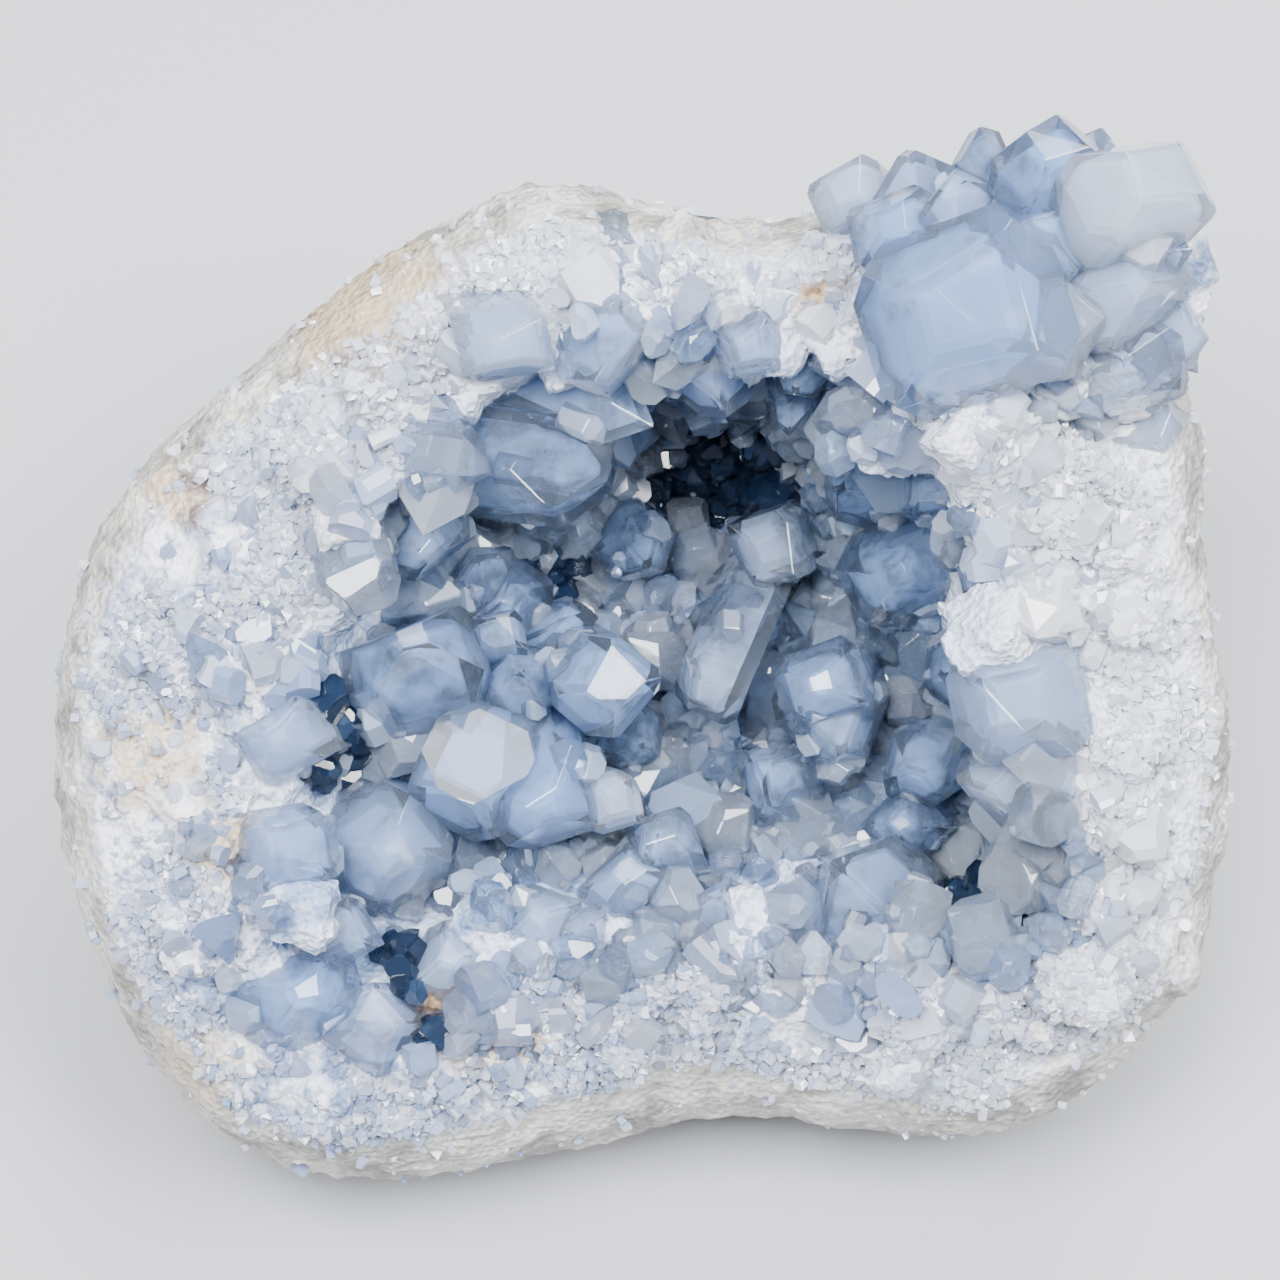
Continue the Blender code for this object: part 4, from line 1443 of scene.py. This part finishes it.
@dataclass
class HollowCrust(CrystalGroup):
    """The crystals that line the hollow and lean over its lip."""

    prefix: str = "hollow"
    side_seed: int = 71
    lip_share: float = 0.78
    lip_rise: float = 2.6
    small_count: int = 150
    small_widths: tuple[float, float] = (3.8, 9.0)
    small_shake: float = 0.45
    outward: float = 0.55
    druse_count: int = 1700
    gap_druse_count: int = 260
    druse_widths: tuple[float, float] = (1.6, 4.2)
    druse_shake: float = 0.6
    large: tuple[Crystal, ...] = (
        Crystal(-26.0, 1.0, 8.0, 24, 100, 24, 16.0, 13.0, 15, BLOCK, 0.22, 0.9),
        Crystal(-20.0, -17.0, 8.0, 18, 230, 22, 14.0, 12.0, 70, CHISEL, 0.30, 0.9),
        Crystal(-10.5, -19.5, 9.0, 18, 285, 22, 12.5, 12.0, 20, BLOCK, 0.28, 1.0),
        Crystal(-3.3, -5.5, 7.0, 12, 330, 22, 10.5, 10.0, 50, SLAB, 0.22, 0.8),
        Crystal(-2.4, -18.0, 4.0, 20, 350, 14, 7.0, 6.5, 15, SLAB, 0.40, 0.2),
        Crystal(-13.0, -3.5, 4.0, 12, 80, 18, 8.5, 8.0, 35, POINT, 0.25, 0.8),
        Crystal(-15.5, 1.5, 2.0, 20, 90, 15, 5.5, 5.0, 10, SLAB, 0.15, 0.6),
        Crystal(-13.7, 5.5, -2.0, 22, 60, 18, 11.0, 9.0, 60, BLOCK, 0.10, 0.8),
        Crystal(-18.0, 9.5, -1.0, 28, 110, 16, 8.0, 7.0, 25, POINT, 0.12, 0.7),
        Crystal(-5.0, 3.0, -6.0, 58, 20, 20, 10.0, 4.0, 60, CHISEL, 0.12, 0.8),
        Crystal(-23.0, 9.5, 4.0, 28, 300, 18, 11.0, 9.0, 40, BLOCK, 0.20, 0.6),
        Crystal(-1.5, 18.0, 2.0, 74, 352, 24, 12.5, 10.0, 35, BLOCK, 0.10, 0.7),
        Crystal(7.0, -7.0, -3.0, 42, 245, 24, 9.0, 8.0, 75, SLAB, 0.18, 0.3),
        Crystal(13.5, 9.5, -10.0, 16, 215, 18, 8.0, 8.0, 20, SLAB, 0.18, 0.3),
        Crystal(19.0, -4.5, 3.0, 14, 160, 22, 10.5, 10.0, 20, BLOCK, 0.20, 0.7),
        Crystal(22.5, -12.5, 2.0, 24, 280, 18, 9.5, 9.0, 55, POINT, 0.26, 0.6),
        Crystal(27.0, 6.5, 2.0, 20, 210, 22, 13.0, 12.0, 30, BLOCK, 0.10, 0.9),
        Crystal(21.5, 16.5, -1.0, 28, 190, 18, 8.5, 8.0, 65, POINT, 0.12, 0.8),
        Crystal(13.5, -16.5, -3.0, 22, 200, 16, 9.0, 8.5, 10, CHISEL, 0.14, 0.7),
        Crystal(21.0, -24.0, 7.0, 36, 130, 26, 16.0, 13.0, 50, POINT, 0.22, 0.6),
        Crystal(2.0, -20.5, 1.0, 34, 110, 16, 7.5, 6.5, 15, SLAB, 0.20, 0.6),
        Crystal(-2.0, -25.0, 3.0, 26, 100, 16, 8.5, 7.5, 45, BLOCK, 0.30, 0.6),
        Crystal(-5.0, -31.0, 4.0, 22, 60, 12, 5.5, 5.0, 30, POINT, 0.25, 0.4),
        Crystal(-11.5, -30.0, 3.0, 18, 100, 14, 8.0, 7.0, 70, BLOCK, 0.40, 0.5),
        Crystal(9.5, -29.0, 2.0, 24, 90, 13, 8.0, 6.5, 30, CHISEL, 0.30, 0.5),
        Crystal(41.0, -7.0, 15.0, 10, 190, 26, 15.0, 13.0, 10, SLAB, 0.38, 0.5),
        Crystal(40.5, -17.0, 9.0, 16, 240, 18, 9.0, 8.0, 35, SLAB, 0.38, 0.2),
        Crystal(30.0, -14.5, 2.0, 22, 200, 18, 9.0, 8.0, 80, CHISEL, 0.16, 0.8),
        Crystal(33.0, -4.0, 4.0, 26, 190, 18, 8.0, 7.5, 20, POINT, 0.14, 0.8),
        Crystal(28.0, -20.0, 0.0, 18, 160, 16, 8.0, 7.5, 40, BLOCK, 0.14, 0.8),
        Crystal(31.0, 16.5, 8.0, 26, 215, 20, 11.0, 10.0, 10, BLOCK, 0.14, 0.7),
        Crystal(35.5, 5.0, 9.0, 30, 200, 18, 8.5, 8.0, 55, POINT, 0.22, 0.5),
        Crystal(-41.0, -11.0, 9.0, 14, 200, 18, 9.5, 9.0, 30, BLOCK, 0.34, 0.6),
        Crystal(9.0, 25.5, 7.0, 52, 285, 24, 13.0, 9.0, 20, CHISEL, 0.26, 0.8),
        Crystal(-4.0, 28.0, 10.0, 44, 270, 20, 12.0, 9.0, 60, BLOCK, 0.30, 0.6),
        Crystal(1.5, 23.5, 4.0, 66, 335, 24, 10.0, 4.0, 40, POINT, 0.24, 0.6),
        Crystal(11.5, 31.5, 11.0, 24, 250, 16, 7.5, 6.5, 15, SLAB, 0.20, 0.5),
        Crystal(17.0, 27.0, 7.0, 34, 250, 16, 6.0, 5.5, 45, POINT, 0.15, 0.6),
        Crystal(16.5, 22.5, 4.0, 48, 260, 14, 5.0, 4.5, 20, POINT, 0.10, 0.6),
        Crystal(21.5, 30.0, 12.0, 30, 230, 16, 7.0, 6.0, 60, BLOCK, 0.20, 0.5),
        Crystal(-14.5, 31.5, 11.0, 22, 300, 18, 10.0, 8.0, 10, SLAB, 0.45, 0.4),
        Crystal(-19.5, 22.0, 5.0, 40, 330, 16, 8.0, 7.0, 50, BLOCK, 0.20, 0.5),
        Crystal(0.5, -12.0, -4.0, 20, 320, 14, 7.0, 6.5, 65, POINT, 0.10, 0.7),
        Crystal(8.0, 1.5, -9.0, 24, 180, 16, 8.0, 7.0, 30, CHISEL, 0.08, 0.7),
        Crystal(1.0, 8.0, -12.0, 22, 300, 14, 8.0, 7.0, 50, POINT, 0.08, 0.8),
        Crystal(-37.5, -38.5, 8.5, 10, 60, 24.5, 14.0, 12.5, 20, BLOCK, 0.20, 1.0),
        Crystal(-28.5, -42.0, 5.0, 16, 60, 18, 9.5, 8.5, 55, SLAB, 0.22, 0.6),
        Crystal(-28.0, -24.5, 6.0, 10, 300, 24, 14.0, 13.0, 35, BLOCK, 0.34, 0.7),
        Crystal(-38.5, -22.5, 8.0, 14, 40, 20, 11.5, 9.5, 10, SLAB, 0.24, 0.7),
        Crystal(-21.0, -34.5, 4.0, 18, 80, 18, 9.5, 8.5, 60, BLOCK, 0.30, 0.3),
        Crystal(-34.0, -32.0, 4.0, 8, 60, 18, 9.0, 8.0, 30, SLAB, 0.20, 0.5),
    )

    def __post_init__(self) -> None:
        """Lifts the crystals of the lip clear of the broken blocks between them."""
        self.large = tuple(self._lifted(crystal) for crystal in self.large)

    def _lifted(self, crystal: Crystal) -> Crystal:
        """The crystal, a little further out if it stands on the lip.

        Args:
            crystal: The crystal as the solids have it.

        Returns:
            The crystal as it is cut here.
        """
        away = (crystal.x - WALL_FORM.centre[0], crystal.u - WALL_FORM.centre[1])
        edge = float(WALL_FORM.along(WALL_FORM.inner, np.array(math.atan2(away[1], away[0]))))
        if math.hypot(*away) < self.lip_share * edge:
            return crystal
        return replace(crystal, b=crystal.b + self.lip_rise, length=crystal.length + self.lip_rise)

    def build(self, ground: Ground, shapes: SmallShapes, finishes: Finishes) -> None:
        """Builds and dresses everything that has grown in the hollow.

        Args:
            ground: Where small crystals may stand.
            shapes: What they are copied from.
            finishes: The materials.
        """
        slot = "hollow_crystals"
        druse = self._druse("hollow_druse", self.druse_count, ground.surface, ground.druse, shapes.plain)
        gap_shade_druse = self._druse("gap_shade_druse", self.gap_druse_count, ground.surface, ground.gaps, shapes.plain)
        dress(self.large_crystals(), finishes.clear, slot, "hollow_crystal_crust")
        dress(self.clouds(), finishes.milk, slot)
        dress(self.side_crystals(shapes.fine), finishes.cloudy, slot)
        dress(self._small_crystals(ground, shapes.fine), finishes.cloudy, slot)
        dress(druse, finishes.cloudy, slot)
        # The druse in the gaps gets the dark blue of painted shade.
        dress(gap_shade_druse, finishes.deep, slot)

    def _small_crystals(self, ground: Ground, models: Sequence[Model]) -> bpy.types.Object:
        """Stands middle-sized crystals between the large ones.

        Args:
            ground: Where they may stand.
            models: What is copied.

        Returns:
            One object with all of them.
        """
        chance = random.Random(41)
        swarm = Swarm(models)
        places, normals, _ = ground.surface.scatter(self.small_count, ground.hollow, 42, ground.hollow)
        for place, normal in zip(places, normals):
            size = chance.uniform(*self.small_widths)
            lifted = normal + self.outward * np.array(OPENING.out)
            turn = shaken_turn(lifted, self.small_shake, size, chance)
            rise = (3.0 + 0.55 * size + chance.uniform(-1.0, 1.5)) * MM
            tip = place + normal * rise
            swarm.add(chance.randrange(99), turn, tip, chance.uniform(0.0, 0.4), chance.random())
        return swarm.build("hollow_small_crystals")

    def _druse(
        self, name: str, count: int, surface: Surface, weight: np.ndarray, models: Sequence[Model]
    ) -> bpy.types.Object:
        """Covers what still shows of the hollow's wall with tiny crystals.

        Args:
            name: The object's name.
            count: How many crystals.
            surface: The wall's faces.
            weight: How likely each face is for its area.
            models: What is copied.

        Returns:
            One object with all of them.
        """
        chance = random.Random(51)
        swarm = Swarm(models)
        places, normals, _ = surface.scatter(count, weight, 52, weight)
        for place, normal in zip(places, normals):
            size = chance.uniform(*self.druse_widths)
            turn = shaken_turn(normal, self.druse_shake, size, chance)
            rise = (1.2 + 0.6 * size + chance.uniform(-0.5, 0.8)) * MM
            tip = place + normal * rise
            swarm.add(chance.randrange(99), turn, tip, chance.uniform(0.0, 0.5), chance.random())
        return swarm.build(name)


@dataclass
class RaisedCluster(CrystalGroup):
    """The tall group of large hazy crystals on the back right of the rim."""

    prefix: str = "cluster"
    first_seed: int = 60
    side_seed: int = 72
    core_centre: tuple[float, float, float] = (46.0, 37.0, 14.0)
    core_size: tuple[float, float, float] = (15.5, 14.0, 12.0)
    core_crease: float = math.radians(25)
    small_count: int = 170
    small_widths: tuple[float, float] = (2.6, 6.6)
    small_shake: float = 0.4
    large: tuple[Crystal, ...] = (
        Crystal(34.5, 35.5, 34.0, 16, 215, 32, 22.0, 19.0, 20, SLAB, 0.36, 1.0),
        Crystal(26.5, 46.5, 27.0, 24, 150, 22, 10.0, 9.5, 10, BLOCK, 0.26, 0.9),
        Crystal(33.5, 50.5, 27.0, 30, 110, 20, 10.0, 8.5, 55, BLOCK, 0.34, 0.6),
        Crystal(45.0, 55.0, 30.0, 34, 95, 24, 11.0, 10.0, 30, SLAB, 0.20, 1.0),
        Crystal(57.0, 52.0, 36.0, 24, 50, 28, 14.5, 11.5, 20, SLAB, 0.62, 0.0),
        Crystal(45.5, 33.5, 31.0, 14, 280, 22, 10.5, 9.5, 60, SLAB, 0.60, 0.1),
        Crystal(55.5, 29.5, 26.0, 20, 320, 20, 11.0, 9.5, 15, SLAB, 0.24, 0.4),
        Crystal(55.0, 39.5, 33.0, 10, 20, 24, 13.0, 11.5, 45, BLOCK, 0.50, 0.4),
        Crystal(43.5, 46.0, 33.0, 12, 100, 24, 11.5, 10.5, 5, BLOCK, 0.40, 0.8),
        Crystal(62.0, 32.5, 24.0, 44, 350, 20, 9.5, 8.5, 40, BLOCK, 0.45, 0.4),
        Crystal(61.0, 43.0, 28.0, 40, 10, 20, 9.5, 8.5, 10, POINT, 0.40, 0.5),
        Crystal(30.0, 21.5, 14.0, 34, 225, 20, 11.0, 9.5, 30, CHISEL, 0.14, 0.8),
        Crystal(39.5, 22.5, 20.0, 28, 250, 20, 10.0, 9.0, 70, BLOCK, 0.20, 0.5),
        Crystal(49.5, 22.0, 19.0, 26, 290, 20, 10.0, 9.0, 20, POINT, 0.35, 0.3),
        Crystal(37.5, 56.5, 25.0, 40, 100, 17, 5.5, 5.0, 35, POINT, 0.20, 0.6),
        Crystal(59.0, 22.5, 16.0, 38, 330, 18, 9.0, 8.0, 45, BLOCK, 0.45, 0.3),
        Crystal(21.5, 50.0, 14.0, 30, 150, 18, 9.0, 6.5, 20, SLAB, 0.45, 0.2),
        Crystal(29.0, 54.0, 16.0, 58, 105, 20, 10.0, 8.0, 60, BLOCK, 0.35, 0.6),
        Crystal(51.0, 56.0, 18.0, 66, 80, 22, 11.0, 9.0, 15, CHISEL, 0.35, 0.6),
        Crystal(62.5, 50.5, 17.0, 70, 35, 22, 11.0, 9.0, 50, BLOCK, 0.40, 0.5),
    )

    def build(self, shapes: SmallShapes, finishes: Finishes) -> None:
        """Builds and dresses the whole cluster.

        Args:
            shapes: What the small crystals are copied from.
            finishes: The materials.
        """
        slot = "raised_crystals"
        dress(self.large_crystals(), finishes.clear, slot, "raised_crystal_cluster")
        dress(self.clouds(), finishes.milk, slot)
        dress(self.side_crystals(shapes.fine), finishes.cloudy, slot)
        dress(self._small_crystals(shapes.fine), finishes.cloudy, slot)
        dress(self._core(), finishes.rock, slot)

    def _core(self) -> bpy.types.Object:
        """The rough rock between the crystals' roots.

        Returns:
            The rock, with the wall's attributes.
        """
        bpy.ops.mesh.primitive_ico_sphere_add(subdivisions=6, radius=1.0)
        made = bpy.context.object
        made.name = "cluster_core"
        for vertex in made.data.vertices:
            way = vertex.co.copy()
            reach = 1.0 + 0.22 * noise.noise(way * 2.2) + 0.07 * noise.noise(way * 7.0)
            cell = noise.voronoi(way * 5.0)[1][0]
            reach += 0.05 * noise.noise_vector(cell * 3.1).x
            place = [c + s * w * reach for c, s, w in zip(self.core_centre, self.core_size, way)]
            vertex.co = OPENING.spot(*place)
        for name in ("skin", "hollow", "stain", "painted_gap_shade", "white"):
            set_values(made.data, name, 0.0)
        select_only(made)
        bpy.ops.object.shade_smooth_by_angle(angle=self.core_crease)
        return made

    def _small_crystals(self, models: Sequence[Model]) -> bpy.types.Object:
        """Stands smaller crystals all over the core, between the large ones.

        Args:
            models: What is copied.

        Returns:
            One object with all of them.
        """
        chance = random.Random(61)
        swarm = Swarm(models)
        for _ in range(self.small_count):
            way = Vector((chance.gauss(0, 1), chance.gauss(0, 1), chance.gauss(0.3, 1))).normalized()
            size = chance.uniform(*self.small_widths)
            rows = zip(self.core_centre, self.core_size, way)
            place = [centre + (reach * 0.98 + 0.45 * size) * share for centre, reach, share in rows]
            tip = np.array(OPENING.spot(*place))
            outward = OPENING.across * way.x + OPENING.up_slope * way.y + OPENING.out * (way.z + 0.3)
            turn = shaken_turn(np.array(outward), self.small_shake, size, chance)
            swarm.add(chance.randrange(99), turn, tip, chance.uniform(0.15, 0.7), chance.random())
        return swarm.build("cluster_small_crystals")


@dataclass(frozen=True)
class Softbox:
    """A square soft light: its place and width in metres, and its power in watts."""

    name: str
    place: tuple[float, float, float]
    width: float
    power: float


@dataclass
class Studio:
    """A plain pale floor, plain soft light, and the camera at the photograph's angle."""

    floor_hex: str = "#B9BBC0"
    floor_roughness: float = 0.8
    floor_size: float = 6.0
    surroundings_hex: str = "#E4E8EE"
    surroundings_strength: float = 0.33
    lens: float = 120.0
    sensor: float = 36.0
    softboxes: tuple[Softbox, ...] = (
        Softbox("front softbox", (-0.20, -0.20, 0.90), 0.40, 17.0),
        Softbox("right softbox", (0.40, -0.20, 0.82), 0.36, 11.0),
        Softbox("back softbox", (0.20, 0.50, 0.82), 0.60, 11.0),
        Softbox("left softbox", (-0.75, -0.35, 0.50), 0.40, 3.0),
    )

    def build(self) -> None:
        """Makes the floor, the surroundings, the lights and the camera."""
        self._floor()
        self._surroundings()
        target = OPENING.middle * MM
        for box in self.softboxes:
            self._softbox(box, target)
        self._camera(target)

    def _floor(self) -> None:
        """A pale matt sheet under the geode."""
        bpy.ops.mesh.primitive_plane_add(size=self.floor_size)
        floor = bpy.context.object
        floor.name = "floor"
        material = bpy.data.materials.new("matt pale paper")
        material.use_nodes = True
        surface = material.node_tree.nodes["Principled BSDF"]
        surface.inputs["Base Color"].default_value = linear_colour(self.floor_hex)
        surface.inputs["Roughness"].default_value = self.floor_roughness
        floor.data.materials.append(material)

    def _surroundings(self) -> None:
        """Even pale light from all round."""
        world = bpy.data.worlds.new("pale studio")
        world.use_nodes = True
        background = world.node_tree.nodes["Background"]
        background.inputs["Color"].default_value = linear_colour(self.surroundings_hex)
        background.inputs["Strength"].default_value = self.surroundings_strength
        bpy.context.scene.world = world

    @staticmethod
    def _aim(eye: Vector, target: Vector, up: Vector) -> Matrix:
        """The place and turn of something at eye that looks at target.

        Args:
            eye: Its place in metres.
            target: What it looks at.
            up: The direction that is up in its view.

        Returns:
            The matrix.
        """
        back = (eye - target).normalized()
        right = up.cross(back).normalized()
        placed = Matrix((right, back.cross(right), back)).transposed().to_4x4()
        placed.translation = eye
        return placed

    def _softbox(self, box: Softbox, target: Vector) -> None:
        """Hangs a soft light and turns it to the geode.

        Args:
            box: The light.
            target: What it points at, in metres.
        """
        light = bpy.data.lights.new(box.name, "AREA")
        light.shape = "SQUARE"
        light.size = box.width
        light.energy = box.power
        lamp = bpy.data.objects.new(box.name, light)
        bpy.context.scene.collection.objects.link(lamp)
        lamp.matrix_world = self._aim(Vector(box.place), target, Vector((0.0, 1.0, 0.0)))

    def _camera(self, target: Vector) -> None:
        """Looks straight into the opening from the distance that the forms are laid out for.

        Args:
            target: What it looks at, in metres.
        """
        camera = bpy.data.cameras.new("camera")
        camera.lens = self.lens
        camera.sensor_width = self.sensor
        camera.clip_start = 0.01
        holder = bpy.data.objects.new("camera", camera)
        bpy.context.scene.collection.objects.link(holder)
        eye = target + OPENING.out * OPENING.eye_distance * MM
        holder.matrix_world = self._aim(eye, target, OPENING.up_slope)
        bpy.context.scene.camera = holder


def main() -> None:
    """Builds the geode's sub-assemblies in order, then the studio."""
    logging.basicConfig(level=logging.INFO, format="%(name)s %(message)s")
    noise.seed_set(NOISE_SEED)
    shapes, finishes = SmallShapes(), Finishes()
    geode, crust = GeodeWall(), HollowCrust()
    wall = geode.build(shapes, crust.large, finishes)
    ground = Ground.of(geode, wall, crust.large)
    RimDebris().build(ground, shapes, finishes)
    crust.build(ground, shapes, finishes)
    RaisedCluster().build(shapes, finishes)
    Studio().build()


if __name__ == "__main__":
    main()
